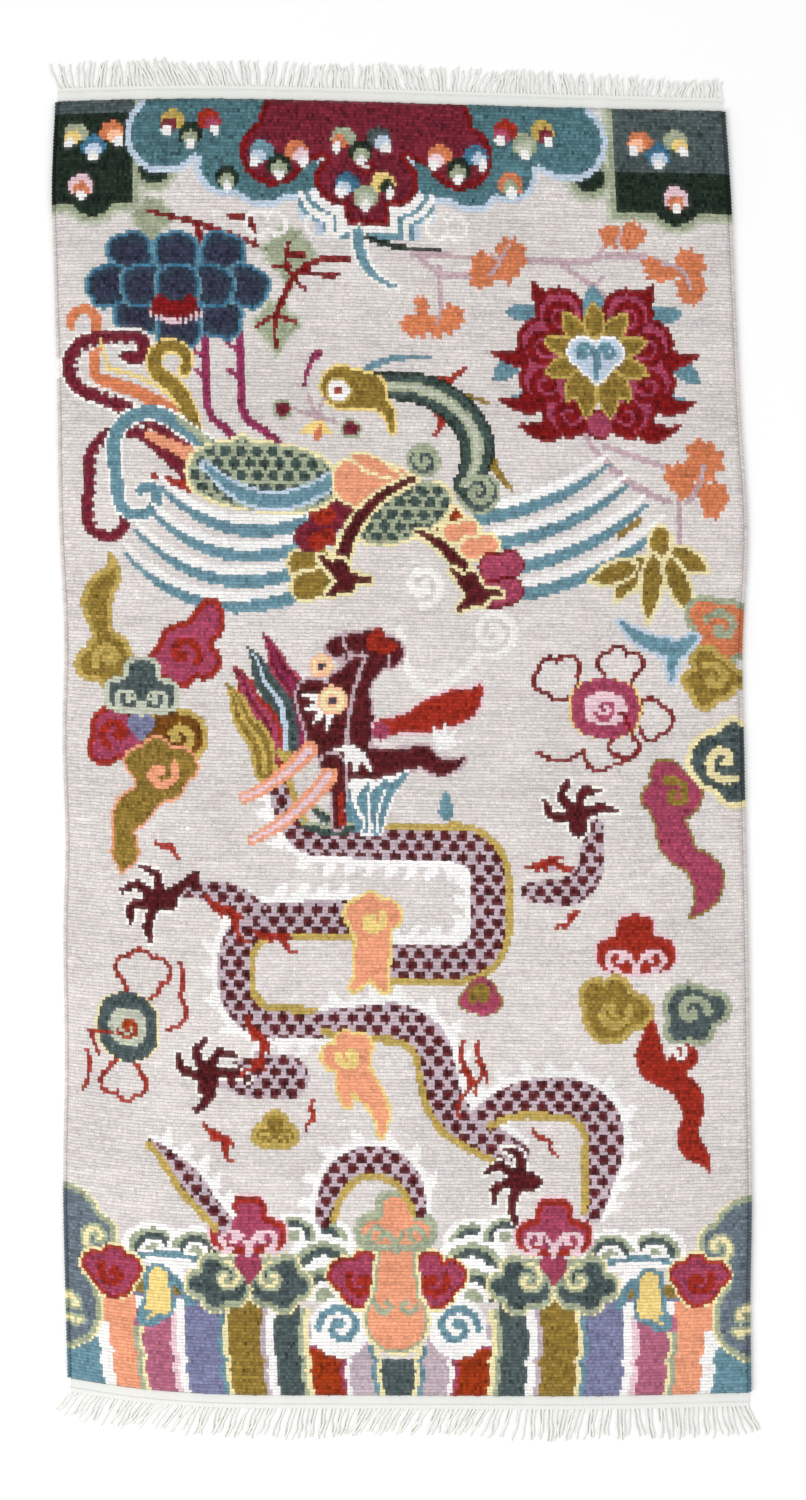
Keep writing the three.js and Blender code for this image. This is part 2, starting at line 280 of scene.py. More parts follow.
class Pen:
    """Knots shapes into the rug from a place of its own, with its own size, turn and side. Its points are in
    its own units, x to the right and y towards the foot, and a heading or turn is clockwise, in degrees."""

    def __init__(self, dye, x=0.0, y=0.0, size=1.0, turn=0.0, flip=False):
        self.dye, self.x, self.y, self.size = dye, x, y, size
        self.turn, self.flip = turn, -1 if flip else 1

    def at(self, x, y, size=1.0, turn=0.0, flip=False):
        """A pen at another place of the same rug."""
        return Pen(self.dye, x, y, size, turn, flip)

    def lay(self, shape, look):
        """Knots a shape in its look: dyes parted by commas, each with its inset from the shape's edge where
        it has one. A negative inset is a halo round the shape."""
        for band in look.split(", "):
            dye, *inset = band.split()
            inset = float(inset[0]) if inset else 0
            self.dye[deeper(shape < 0, inset) if inset > 0 else shape < -inset] = NAMES.index(dye)

    def put(self, points):
        """Turns points in the pen's own units into places on the rug, and widths into half widths."""
        p = np.array(points, float)
        x, y = p[:, 0] * self.size * self.flip, p[:, 1] * self.size
        p[:, :2] = turned(self.x, self.y, self.turn, x, y)
        p[:, 2:] *= self.size / 2
        return p

    def bow(self, x0, y0, x1, y1, bend, *widths):
        """A stroke between two places, bent to its left by a share of its length."""
        t = np.linspace(0, 1, 3 + int(math.hypot(x1 - x0, y1 - y0) * (1 + abs(bend)) / STRIDE))
        dx, dy, side = x1 - x0, y1 - y0, 4 * bend * t * (1 - t)
        return along(self.put(np.column_stack(
            [x0 + dx * t + dy * side, y0 + dy * t - dx * side, spread(widths, len(t))])))

    def walk(self, x, y, heading, legs, *widths):
        """A stroke from a place in a heading, in legs of a length and a turn."""
        return along(self.put(course(x, y, heading, legs, widths)))

    def corners(self, *points):
        """What lies inside straight lines between points (x, y)."""
        return within(self.put(points))

    def disc(self, x, y, radius):
        return along(self.put([(x, y, 2 * radius)]))

    def discs(self, *rows):
        return both(*(self.disc(*row) for row in rows))

    def oval(self, x, y, wide, high, turn=0.0, power=1.0):
        """An oval of those two half sizes, squarer the lower its power."""
        n = np.linspace(0, 2 * math.pi, 32, endpoint=False)
        a = wide * np.sign(np.cos(n)) * np.abs(np.cos(n)) ** power
        b = high * np.sign(np.sin(n)) * np.abs(np.sin(n)) ** power
        return within(self.put(turned(x, y, turn, a, b)))

    def ragged(self, x, y, wide, high, turn=0.0, depth=0.13):
        """A lobed oval with a toothed edge."""
        n = np.linspace(0, 2 * math.pi, 72, endpoint=False)
        out = 1 + depth * np.cos(9 * n) + 0.1 * np.cos(3 * n + 1)
        return within(self.put(turned(x, y, turn, wide * out * np.cos(n), high * out * np.sin(n))))

    def curl(self, x, y, radius, turns=1.0, start=0.0, way=1, width=0.2, tail=0.14):
        """A spiral from its outer end to its heart. start is in degrees."""
        t = np.linspace(0, 1, 28)
        turn = np.radians(start + way * 360 * turns * t)
        out = radius * (1 - (1 - tail) * t)
        return along(self.put(np.column_stack(
            [x + out * np.cos(turn), y + out * np.sin(turn), np.full(28, width)])))

    def leaf(self, x, y, length, width, turn, bend=0.0, waist=0.4):
        """A pointed leaf from its base, along a turn, bent to one side."""
        t = np.linspace(0, 1, 14)
        way = math.radians(turn) + math.radians(bend) * (t - 0.5)
        step = length / 13
        px = x + np.concatenate([[0], np.cumsum(np.cos(way[:-1]) * step)])
        py = y + np.concatenate([[0], np.cumsum(np.sin(way[:-1]) * step)])
        wide = width * np.sin(math.pi * t ** (math.log(0.5) / math.log(waist))) + 0.02
        return along(self.put(np.column_stack([px, py, wide])))

    def bows(self, look, *rows):
        """Bowed strokes in one look, each from place to place with its bend and widths."""
        self.lay(both(*(self.bow(*row) for row in rows)), look)

    def walks(self, look, *rows):
        """Strokes in one look, each with its place, heading, legs and widths."""
        self.lay(both(*(self.walk(*row) for row in rows)), look)

    def lumps(self, look, *rows):
        """Discs that run together."""
        self.lay(self.discs(*rows), look)


def beside(points, side, reach):
    """Points along one side of a course, at a share of its half width, and the way it runs at each."""
    way = np.gradient(points[:, :2], axis=0)
    way /= np.hypot(*way.T)[:, None]
    return points[:, :2] + side * reach * points[:, 2:] / 2 * np.column_stack([-way[:, 1], way[:, 0]]), way


# A cloud's lobes, for a cloud of size 1.
LOBES = ((0, 0, 1), (-0.75, 0.45, 0.7), (0.7, 0.5, 0.65), (0.1, 0.9, 0.6))


def cloud(pen, look, x, y, size, turn=0, way=1, *tails):
    """A cloud of lobes that run together, with a curl in its look's first dye and tails from its heart."""
    pen = pen.at(x, y, size, turn, way < 0)
    tails = [pen.at(x, y).walk(0, 0, *tail) for tail in tails]
    pen.lay(both(pen.discs(*LOBES), *tails), look)
    pen.lay(pen.curl(0, 0.15, 0.62, 1.0, 150, 1, 1.1 / size, 0.1), look.replace(",", "").split()[0])


def ruyi(pen, x, y, size, outer, inner, mark, drop=None, rim=0.2):
    """A cloud head of three lobes with two curls. Its rim is a share of its size."""
    pen = pen.at(x, y, size)
    if drop:
        pen.lay(both(pen.disc(0, 0.8, 0.36), pen.corners((-0.34, 0.9), (0.34, 0.9), (0, 1.4))), drop)
    head = both(pen.oval(0, -0.45, 0.48, 0.52, 0, 0.6), pen.oval(0, 0.05, 1.0, 0.48, 0, 0.6))
    pen.lay(head, f"{mark} -0.3, {outer}, {inner} {rim * size}")
    for way in (-1, 1):
        pen.lay(both(pen.curl(way * 0.46, 0.16, 0.3, 0.9, 90, -way, 0.15, 0.3),
                     pen.bow(0, 0.55, way * 0.3, 0, 0.1 * way, 0.2, 0.14)), mark)


# The middle of the head's clouds, which lies a little left of the rug's own.
HEAD_MIDDLE = 41.7


def head_border(pen):
    """Dark corners, a teal cloud and a raspberry cloud along the head."""
    for left, right, hump, hook, split in ((-1, 10.5, 5, 13.2, 2), (75, 91, 83, 71.5, 8.5)):
        corner = both(block(left, -1, right, 14), pen.disc(hump, 12.5, 3), pen.disc(hook, 9.2, 2.1))
        pen.lay(corner, "pale_sage -1.3, sage -0.7, forest")
        pen.lay(common(corner, KNOT_Y - split), "slate")
    halves = [pen.at(HEAD_MIDDLE, 0, flip=flip) for flip in (True, False)]
    lobes = ((27, 4.5, 5.5), (19, 9, 4), (14, 10.5, 4), (9.5, 9.5, 4))
    teal = both(block(15, -2, 68.5, 6.5), *(half.discs(*lobes) for half in halves))
    pen.lay(teal, "ice, deep_teal 0.9")
    knob = both(block(HEAD_MIDDLE - 3, 9, HEAD_MIDDLE + 3, 16.5),
                *(half.disc(3.5, 10.5, 3.5) for half in halves))
    wave = common(knob - 4.0, 12.0 - KNOT_Y, KNOT_Y - 18.5)
    for dye, reach in (("ice", 4.0), ("teal", 3.1), ("white", 2.5), ("teal", 1.7), ("white", 1.1)):
        pen.lay(common(wave, knob - reach), dye)
    raspberry = both(knob, block(HEAD_MIDDLE - 5.5, -2, HEAD_MIDDLE + 5.5, 8.5),
                     *(half.discs((9, 3, 5.5), (12.5, 7, 4.5)) for half in halves))
    pen.lay(raspberry, "dark_red, raspberry 0.9")


def cap(pen, x, y, outer, inner, lean=0.0):
    """A small cap in two dyes with a white foot."""
    under = KNOT_Y - (pen.y + y)
    pen.lay(common(pen.disc(x, y, 1.65), under - 0.9), outer)
    pen.lay(common(pen.disc(x + 0.5 * lean, y + 0.45, 1.05), under - 1.2), inner)
    pen.lay(pen.oval(x + 0.9 * lean, y + 1.1, 0.65, 0.75), "white")


# A sprig's place, then the dyes of its left, right and lower caps, as cap and heart.
SPRIGS = ((5, 5.5, "sage yellow orange apricot blue ice"), (18, 4, "gold raspberry red pink forest sage"),
          (30, 8, "teal ice orange blush forest sage"), (41, 6, "sage orange slate ice forest sage"),
          (41.5, 12, "blue ice yellow forest sage pale_sage"), (54, 8, "orange blush blue ice forest sage"),
          (63, 4.5, "red pink gold raspberry sage pale_sage"),
          (81, 5.5, "orange apricot sage yellow blue ice"))
SINGLES = ((3.5, 11.5, "blush", "orange"), (23, 10.5, "forest", "sage"), (61, 10.5, "orange", "sage"),
           (83, 12, "blush", "orange"))


def sprigs(pen):
    """Small caps in threes and singly over the head border."""
    for x, y, dyes in SPRIGS:
        sprig, dyes = pen.at(x, y), dyes.split()
        for k, (dx, dy, lean) in enumerate(((-2.4, -0.9, -1), (2.4, -1.0, 1), (0, 0.8, 0))):
            cap(sprig, dx, dy, dyes[2 * k], dyes[2 * k + 1], lean)
    for x, y, outer, inner in SINGLES:
        cap(pen.at(x, y), 0, 0, outer, inner)


# Orange blossoms: place, half width, half height, turn.
BLOSSOMS = ((57, 22, 2, 2.5, 20), (60.5, 20.5, 2, 3, 10), (74.5, 17, 2, 1.5, 0), (77, 17, 1.5, 2, 30),
            (80.5, 21.5, 2.5, 1.5, 10), (84.5, 21, 2, 2.5, 0), (84.5, 24, 2, 2, 0),
            (48, 29.5, 2.5, 1.5, -10), (48.5, 27, 1, 1.5, 0), (50.5, 29.5, 1.5, 1.5, 0),
            (52.5, 28.5, 1.5, 2, 15), (85, 47, 2.5, 3, 20), (82, 49.5, 2, 2.5, -20), (86, 52, 2, 2.5, 0))


def twigs(pen):
    """Twigs, leaves and orange blossoms in the upper field."""
    for x, y, size in ((13, 16, 2.4), (31, 20.5, 3), (29, 30, 2.6)):
        leaf = both(pen.ragged(x, y, size * 1.1, size * 0.7, depth=0.1),
                    pen.ragged(x, y - size * 0.6, size * 0.6, size * 0.6),
                    pen.leaf(x, y - 1, size * 2, size, 90, 0, 0.3))
        pen.lay(leaf, "pale_sage -0.3, sage")
    pen.bows("pale_field -0.45, teal", (40.5, 17.5, 45, 24.5, -0.2, 1.5, 1.2, 0.5))
    pen.bows("forest", (41.5, 18, 51, 19.5, -0.06, 0.8, 0.9, 0.7))
    pen.bows("dark_red", (12.5, 15, 27, 19.5, 0.03, 0.6, 0.9, 0.6), (19, 17.5, 19, 20.5, 0, 1, 0.9),
             (23.5, 15.5, 26.5, 19, 0.3, 1, 1, 0.5), (39, 21, 30, 26.5, -0.2, 0.9, 0.9),
             (30, 26.5, 29, 33, -0.1, 0.9, 0.6), (37.5, 23, 32, 22.5, 0.05, 0.9, 0.6),
             (31, 19, 33, 25, -0.2, 0.6, 0.7), (31, 20.5, 33, 20.5, 0, 0.6), (31, 22, 29, 22, 0, 0.6),
             (29, 28.5, 26.5, 30, 0, 0.6), (29, 28.5, 31.5, 29.5, 0, 0.6))
    pen.bows("mauve", (47.5, 20, 71, 20.5, -0.01, 0.8), (71, 20.5, 83, 21.5, 0.12, 0.8),
             (48, 20, 57, 22, -0.2, 0.8), (51, 22, 51, 28, 0, 0.9), (67.5, 21, 73, 25, 0, 0.8),
             (73, 22.5, 70.5, 25, 0, 0.7), (72, 20, 74.5, 17, 0, 0.7),
             (69.5, 43.5, 80.5, 52.5, -0.1, 0.7, 1.2, 0.7), (72, 45, 80.5, 48, 0, 0.8),
             (81.5, 52, 81.5, 59, 0, 0.9))
    for x, y, wide, high, turn in BLOSSOMS:
        pen.lay(pen.ragged(x, y, wide, high, turn=turn), "orange")
    pen.bows("mauve", (58, 22.5, 60.5, 18.5, 0, 0.7, 0.4), (75, 18, 75.5, 16.5, 0, 0.6, 0.4),
             (81, 20.5, 84.5, 24, 0.2, 0.6), (51, 27, 50.5, 29.5, 0, 0.6, 0.4),
             (82.5, 52.5, 85, 47.5, -0.1, 0.8, 0.5))


def lotus(pen):
    """An indigo lotus with teal edges on two thorny stems."""
    pen.walks("plum", (19.5, 29, 90, ((11, 0), (4, -60), (2, 30)), 1.1),
              (24, 28, 90, ((12, 0), (4, -60), (4, 20)), 1.1))
    thorns = ((19.5, 34.5), (19.5, 37), (24, 30.5), (24, 33.5), (24, 37))
    pen.bows("plum", (34.5, 33.5, 32.5, 38, -0.1, 1, 0.4),
             *((x, y, x - 1.5, y - 1, 0, 0.8, 0.6) for x, y in thorns))
    for y, count, pitch in ((20.5, 3, 6.2), (29, 3, 5.6), (24.8, 5, 4.6)):
        for k in sorted(range(count), key=lambda k: -abs(k - (count - 1) / 2)):
            side = k - (count - 1) / 2
            lower = 1.4 if side == 0 and y > 28 else 0
            petal = pen.oval(16 + side * pitch, y + lower, 3.2, 2.9, 12 * side, 0.7)
            pen.lay(petal, "teal, blue 0.4, deep_blue 0.8, indigo 2.0")
    pen.lay(both(pen.oval(15.6, 28, 3.4, 1.3), pen.discs((13.6, 27.2, 1.1), (17.6, 27.2, 1.1))), "dark_red")
    for k in range(11):
        tooth = pen.oval(12.2 + 0.7 * k, 29.6 - 0.1 * abs(k - 5) ** 1.4, 0.2, 0.7)
        pen.lay(tooth, "blush")


# Half of the large flower, from its middle: discs with the start of their curl, and horns with their length,
# turn and bend.
PETALS = ((4, 7, 3.7, 150), (7, 3, 3.5, 130), (7, -2, 3.5, 100), (4.5, -6, 3.5, 80))
HORNS = ((5.5, 9.5, 6.0, -12, -60), (7.5, 5.5, 6.4, -4, -70), (8, -0.5, 6.6, -6, -60),
         (5.5, -6.5, 5.0, -58, -40))


def curled_flower(pen):
    """A large flower of comma petals round a star and a white heart."""
    for half in (pen.at(71.5, 33.4, flip=True), pen.at(71.5, 33.4)):
        for x, y, turn in ((7.5, -6, 0), (10.5, 0.5, 40), (8, 6, 0)):
            pen.lay(half.leaf(x, y, 4.5, 2.5, turn), "teal")
        pen.lay(half.leaf(0, -4, 6, 3.2, -90), "teal")
        petals = half.discs(*(petal[:3] for petal in PETALS))
        horns = [half.leaf(x, y, long, 2.8, turn, bend, 0.2) for x, y, long, turn, bend in HORNS]
        pen.lay(both(petals, *horns), "dark_red")
        pen.lay(petals, "pink 0.9")
        for x, y, size, start in PETALS:
            pen.lay(half.curl(x - 0.2, y + 0.4, 2.3, 1.2, start, -1, 1.1, 0.2), "dark_red")
    pen = pen.at(71.5, 33.2)
    pen.lay(pen.disc(0, 9, 2), "dark_red, pink 0.5")
    star = [pen.leaf(-1.3, 3, 5.4, 2.9, 93), pen.leaf(1.3, 3, 5.4, 2.9, 87)]
    for turn in (-90, -54, -18, 18, 54, 126, 162, 198, 234):
        out = math.radians(turn)
        star.append(pen.leaf(2.6 * math.cos(out), 2.6 * math.sin(out), 4.8, 2.9, turn))
    pen.lay(both(*star), "gold")
    for petal in star:
        pen.lay(petal, "olive 0.46")
    pen.lay(both(pen.discs((-1.7, -0.6, 2.2), (1.7, -0.6, 2.2)),
                 pen.corners((-3.4, 0.6), (3.4, 0.6), (0, 4.1))), "white, ice 0.5")
    pen.lay(both(pen.curl(-1.6, -0.5, 1.3, 1.0, 0, -1, 0.8), pen.curl(1.6, -0.5, 1.3, 1.0, 180, 1, 0.8),
                 pen.bow(0, 0.2, 0, 2.6, 0, 1.2, 0.8)), "teal")


def fan(pen, look, tips, roots, count, bow, width, *more):
    """Feathers side by side, each from its tip to its root, bowed to one side."""
    for k in range(count):
        t = k / max(count - 1, 1)
        places = [a + (b - a) * t for ends in (tips, roots) for a, b in zip(*ends)]
        for shift, dye, part in more:
            moved = [place + shift * (n % 2) for n, place in enumerate(places)]
            pen.bows(dye, (*moved, bow, *(width * part * w for w in (0.3, 0.8, 1, 1))))
        pen.bows(look, (*places, bow, *(width * w for w in (0.3, 0.8, 1, 1))))


def scales(pen, shape, dye, across, down, size, margin):
    """Staggered round scales inside a shape, that many knots apart."""
    pitch_x, pitch_y = across * KNOT_WIDE, down * KNOT_HIGH
    row = np.round(KNOT_Y / pitch_y)
    x = KNOT_X - (row % 2) * pitch_x / 2
    dot = np.hypot(x - np.round(x / pitch_x) * pitch_x, 1.1 * (KNOT_Y - row * pitch_y)) - size
    pen.lay(common(shape + margin, dot), dye)


# The phoenix's plumes: look, side of the notches, then place, heading, legs and widths.
PLUMES = (
    ("orange", 0, 16.5, 42.5, 215, ((12, -20), (2, 80), (6, 0), (6, -200)), (1.8, 1.8, 1.5, 1.2)),
    ("pale_field -0.3, raspberry", 1,
     17, 46, 215, ((15, -15), (10, 155), (5, 0), (6, 230)), (2, 2, 2, 1.6)),
    ("yellow -0.3, olive", 0, 17.5, 44.5, 270, ((9, -55), (8, 210), (2, 60)), (2, 2, 1.6, 1.2)),
    ("raspberry", -1, 17, 50, 222, ((7, 0), (11, -130), (7, 0), (8, -190)), (2, 1.7, 1.8, 1.8, 1.4)),
    ("pale_field -0.3, teal", 0,
     19.5, 46, 215, ((6, 0), (11, -130), (6, 0), (8, -180), (3, -150)), (2, 1.8, 1.6, 1.2)),
)


def phoenix_tail(pen):
    """Curling plumes at the phoenix's back, notched on the inside of their bends."""
    for look, notch, *plume in PLUMES:
        points = course(*plume)
        pen.lay(along(points * (1, 1, 0.5)), look)
        if notch:
            edge = beside(points, notch, 0.9)[0]
            pen.lumps("field", *((*edge[k], 0.35) for k in range(40, len(points) - 20, 5)))
    pen.bows("yellow", (5.5, 32, 6.5, 36, 0, 0.5), (6.5, 36, 16, 41, 0.1, 0.6, 0.5))
    pen.bows("peach", (11.5, 44.5, 17.5, 47.5, 0, 1, 2.2))
    pen.bows("sage", (15.5, 42.5, 19.5, 45.5, 0, 0.6, 1.3))
    pen.bows("red", (12, 50, 17, 51.5, 0, 0.6, 1.5))


# Pairs of lumps where the wings grow: dye, place and size.
SHOULDERS = (("olive", 31.5, 61.5, 1.7), ("olive", 32, 64.5, 1.8), ("rust", 49.5, 55.5, 1.3),
             ("peach", 51.5, 57, 1.3), ("peach", 54, 59, 1.4))


def phoenix_wings(pen):
    """Sweeping teal feathers with white between, and the shoulders they grow from."""
    fan(pen, "teal", ((13, 51.5), (8, 60.5)), ((32, 56), (30, 66)), 4, -0.16, 1.7, (-1.3, "white", 0.9))
    fan(pen, "teal", ((72.5, 47.5), (79.5, 55.5)), ((55, 55), (61, 65)), 4, 0.07, 1.7, (-1.4, "white", 0.9))
    for dye, x, y, size in SHOULDERS:
        pen.lumps(f"cream -0.5, {dye}", (x, y, size), (x + 2, y - 0.5, size))
    pen.lumps("raspberry", (32.5, 58, 2), (35, 55, 2.5), (37, 53.5, 2))
    pen.lumps("red", (34.5, 55, 1.5), (33.5, 58.5, 1.2), (35, 58, 1.2))
    for y in (61.5, 65):
        pen.lumps("dark_red, pink 0.5", (57, y, 2.2), (59, y - 0.5, 2))


def foot(pen, x, y):
    """A bird's foot with three toes."""
    pen.bows("cream -0.45, maroon", (x, y - 1.5, x + 1, y + 1, 0, 1.8, 2.4),
             (x + 0.5, y + 1, x + 4, y + 0.5, 0.1, 2, 0.6), (x, y, x - 2.5, y - 2.5, 0, 1.8, 0.7),
             (x + 0.5, y + 1, x - 1.5, y + 2.5, 0, 1.8, 0.7))


# Pointed blades behind the phoenix: place, length and turn.
BLADES = ((79, 56, 4.5, 95), (80.5, 59, 5.5, 30), (80, 60, 8.5, 65), (76.5, 60, 6.5, 120),
          (78, 59.5, 9, 92), (75.5, 61, 6, 160))


def phoenix_body(pen):
    """The phoenix's scaled body, its shoulder, legs and the blades that hang behind it."""
    for shape in (both(pen.oval(26.5, 50, 10, 4.5, 5, 0.8), pen.disc(24, 46.5, 1.8)),
                  pen.oval(45, 54.5, 7, 3.5, -22, 0.9)):
        pen.lay(shape, "cream -0.3, sage 0.4")
        scales(pen, shape, "deep_slate", 5.8, 3.6, 0.78, 0.5)
    pen.bows("ice -0.5, teal", (19, 48.5, 35.5, 50.5, -0.22, 0.5, 1.7, 1.9, 1.5))
    pen.lay(both(pen.disc(39, 50.5, 3), pen.leaf(38, 50.5, 9, 4.4, -4)), "cream -0.45, peach")
    pen.lay(pen.leaf(38.5, 47, 7.5, 1.8, 24), "cream -0.45, peach")
    pen.bows("cream -0.45, maroon", (46.5, 50, 36.5, 62, -0.14, 0.8, 1.5, 2),
             (47, 57, 54, 64, 0.1, 0.8, 1.6, 2.2))
    foot(pen, 36.5, 63)
    foot(pen, 54, 64.5)
    for x, y, long, turn in BLADES:
        pen.lay(pen.leaf(x, y, long, 2.5, turn), "cream -0.5, olive")
    pen.bows("olive", (73.5, 57, 76, 55, 0, 0.9))


def phoenix_head(pen):
    """The phoenix's striped neck, crest feathers, head and beak."""
    pen.bows("teal", (40, 36, 50, 34, 0.1, 0.9, 0.9, 0.4))
    pen.bows("red", (46.5, 37, 54, 35, -0.15, 0.7, 1.4, 0.5), (49.5, 40.5, 49.5, 44, 0.3, 0.8, 1.2, 0.4))
    pen.bows("olive", (47.5, 37.5, 57, 39.5, 0, 0.8, 1.4, 0.4), (56, 42, 59.5, 51, -0.1, 0.8, 1.4, 0.7))
    pen.lay(pen.discs((48, 47.5, 2.3), (55, 51.5, 3)), "sage, slate 0.6")
    neck = (40.5, 37.5, 0, ((6, 5), (9, 50), (6, 55), (3, 15)))
    for width, dye in ((4.6, "forest"), (3.8, "deep_slate"), (1.6, "sage"), (0.8, "pale_sage")):
        pen.walks(dye, (*neck, *(width * w for w in (0.7, 0.9, 1, 1.05, 0.7))))
    pen.lay(both(pen.curl(48, 47.5, 2.0, 1.2, 60, -1, 0.8), pen.curl(55, 51.5, 2.3, 1.3, 200, 1, 0.9)),
            "sage")
    pen.bows("yellow -0.4, olive", (37.5, 38, 41, 38.5, 0, 5.4, 4.6),
             (40, 39.5, 44, 43.5, 0.25, 2.2, 1.7, 0.6))
    pen.lumps("gold, white 0.5", (37, 38.5, 1.8))
    pen.lumps("red", (37, 38.5, 0.5))
    for x, y in ((29.5, 41), (38.5, 43.5)):
        pen.lumps("sage, raspberry 0.5", (x, y, 1.4))
    pen.bows("mauve", (33, 39, 34, 42.5, 0, 0.5, 0.8), (31, 41, 36.5, 42.5, 0, 0.4, 0.8, 0.5),
             (35, 39.5, 34, 42, 0, 0.4, 0.6))
    for turn in (35, 90, 145):
        pen.lay(pen.leaf(34, 42.8, 2.6, 1.3, turn), "yellow" if turn != 90 else "orange")


# Clouds down both sides: look, place, size, turn and side, then tails of a heading, legs and widths.
CLOUDS = (
    ("gold, olive 0.9", 5.5, 74, 3.2, 0, 1, (255, ((5, 0), (5, 60), (4, -70)), 4, 3, 4.4, 3.4, 0.6)),
    ("red, pink 0.9", 15.5, 73, 3.6, 0, -1, (-40, ((4, -10), (3, -40)), 5, 3.6, 5, 3)),
    ("red, pink 0.9", 6.5, 84, 3.4, -30, 1),
    ("gold, brown 0.9", 15.5, 84.5, 3.6, 80, -1),
    ("peach, olive 0.5", 12.5, 90, 3.6, 180, 1, (120, ((6, 20), (4, -60), (5, 30)), 6, 4, 5, 3, 4, 0.5)),
    ("olive, pink 0.5", 81.5, 91.5, 3.4, 90, 1,
     (120, ((5, -40), (5, -50), (5, 80), (4, 40)), 5, 4, 5, 3.6, 5, 3, 0.6)),
    ("cream, slate 0.9", 87, 87, 4.4, -90, 1),
    ("sage, orange 0.9", 88, 69, 3.8, 60, 1),
    ("gold, olive 0.9", 87, 76, 3.2, 90, 1),
    ("gold, olive 0.9", 72, 121, 3.8, 200, 1),
    ("sage, slate 0.9", 82.5, 120, 3.6, -30, -1),
)


def clouds(pen):
    """Clouds and cloud heads down both sides."""
    for row in CLOUDS:
        cloud(pen, *row)
    ruyi(pen, 10, 79, 4.8, "pale_sage", "slate", "pale_sage", "lavender", 0.11)
    ruyi(pen, 75.5, 112.5, 5.2, "red", "red", "blush")
    ruyi(pen, 27.5, 137, 3, "gold", "olive", "gold")
    pen.bows("ice -0.5, teal", (74, 68.5, 82, 72, -0.1, 0.5, 1.8, 2.2), (82, 72, 84, 70.5, 0, 2, 0.8),
             (81, 72, 81, 76, 0, 1.8, 0.6))
    pen.walks("red", (77.5, 122.5, 100, ((4, -10), (4, -75), (8, 100), (4, -75), (3, 30)),
                      1.5, 4, 3, 3.6, 2.6, 3.4, 0.5))
    pen.bows("red", (79, 129, 82, 126.5, 0, 2.4, 3.4))
    pen.lay(pen.curl(81, 126, 1.3, 1.1, 200, 1, 0.6), "pale_field")


# Clouds in outline: place, size, turn and dye. Pearls: place, half sizes, dye, heart, rim and curl.
OUTLINED = ((74, 75, 2.2, 180, "dark_red"), (66, 76.5, 2.4, 150, "dark_red"), (79, 81.5, 2, 90, "dark_red"),
            (74.5, 84.5, 1.5, 0, "dark_red"), (10, 117, 2.6, 180, "red"), (7.5, 130, 2.2, 0, "red"))
PEARLS = ((72, 80, 5, 4, "pink", "blush", "yellow", "pink"),
          (8, 123.5, 4.3, 4.6, "slate", "pale_sage", "cream", "rust"))


def pearls(pen):
    """Two flaming pearls among clouds in outline, and pale scrolls in the field."""
    for x, y, size, turn, dye in OUTLINED:
        pen.lay(ring(pen.at(x, y, size, turn).discs(*LOBES)), dye)
    for x, y, wide, high, dye, heart, rim, curl in PEARLS:
        pen.lay(pen.oval(x, y, wide, high, 0, 0.8), f"{rim}, {dye} 0.4")
        pen.lay(pen.oval(x, y, wide * 0.58, high * 0.56, 0, 0.9), heart)
        pen.lay(pen.curl(x, y, 1.5, 1.1, 150, -1, 0.7), curl)
    pen.bows("dark_red", (74, 80.5, 75.5, 84, 0.1, 0.6, 0.5), (63, 86, 69, 85.5, -0.2, 0.7, 0.5),
             (69, 85.5, 73, 87.5, -0.4, 0.6), (73, 87.5, 76, 85.5, -0.1, 0.6, 0.5))
    pen.bows("red", (15, 114.5, 15, 119, 0.1, 0.6), (15, 119, 13, 123.5, 0.35, 0.6, 0.5),
             (2.5, 127, 2, 132.5, 0.1, 0.6), (6, 124.5, 3, 124.5, 0, 0.5, 0.8),
             (3, 124.5, 4, 127.5, 0, 0.7, 0.5))
    pen.lay(both(pen.curl(57, 70, 3.4, 1.6, 120, -1, 1.2), pen.curl(47.5, 64, 2.8, 1.4, 90, -1, 1.1),
                 pen.bow(44.5, 70, 55, 73, -0.6, 1.2),
                 *(ring(pen.discs((x, 16.5, 1.6), (x + 2.4, 16.5, 1.4))) for x in (27, 35, 51))),
            "pale_field")


# The dragon's coils: place, heading, legs and widths, after the side that carries the belly line.
COILS = ((-1, (28, 90, 75, ((5, 0), (6, -75), (18, 0), (7, 90), (7, 0), (7, 90), (11, 0)), (3, 5, 5))),
         (-1, (38, 108.5, 180, ((10, 0), (9, -90), (3, 0), (8, -90), (8, 0)), (5, 4.5, 4.5, 3.5))),
         (1, (34, 122, 0, ((9, 0), (8, 80), (4, 0), (7, -50), (7, 0)), (3, 5, 5, 5, 4))),
         (1, (55, 134.5, -40, ((8, 40), (3, 0), (10, 100), (9, 0)), (3, 5, 5.5, 5, 2.5))),
         (1, (11, 138.5, 35, ((6, 15), (8, 0)), (0.8, 3.5, 2.5))),
         (1, (34, 148, -80, ((4, 10), (14, 140), (3, 10)), (2.5, 4, 4, 1.8))),
         (0, (61.5, 104.5, 0, ((4, 0), (6, -80), (5, -10)), (2.5, 4, 3.6, 2.6))),
         (0, (14.5, 105, -5, ((5, 10), (6, 40)), (1.8, 3, 3))),
         (0, (20, 129.5, 0, ((9, 0),), (2.4, 5.6, 6))))


def spines(pen, points, side):
    """A pale band with spines along one side of a course, leaning back."""
    edge, way = beside(points, side, 1.1)
    pen.lay(along(np.column_stack([edge, np.full(len(edge), 0.7)])), "white")
    for k in range(6, len(points) - 4, 9):
        turn = math.degrees(math.atan2(way[k, 1], way[k, 0])) + side * 120
        pen.lay(pen.at(*edge[k]).leaf(0, 0, 2.7, 1.5, turn, side * 30, 0.3), "white")


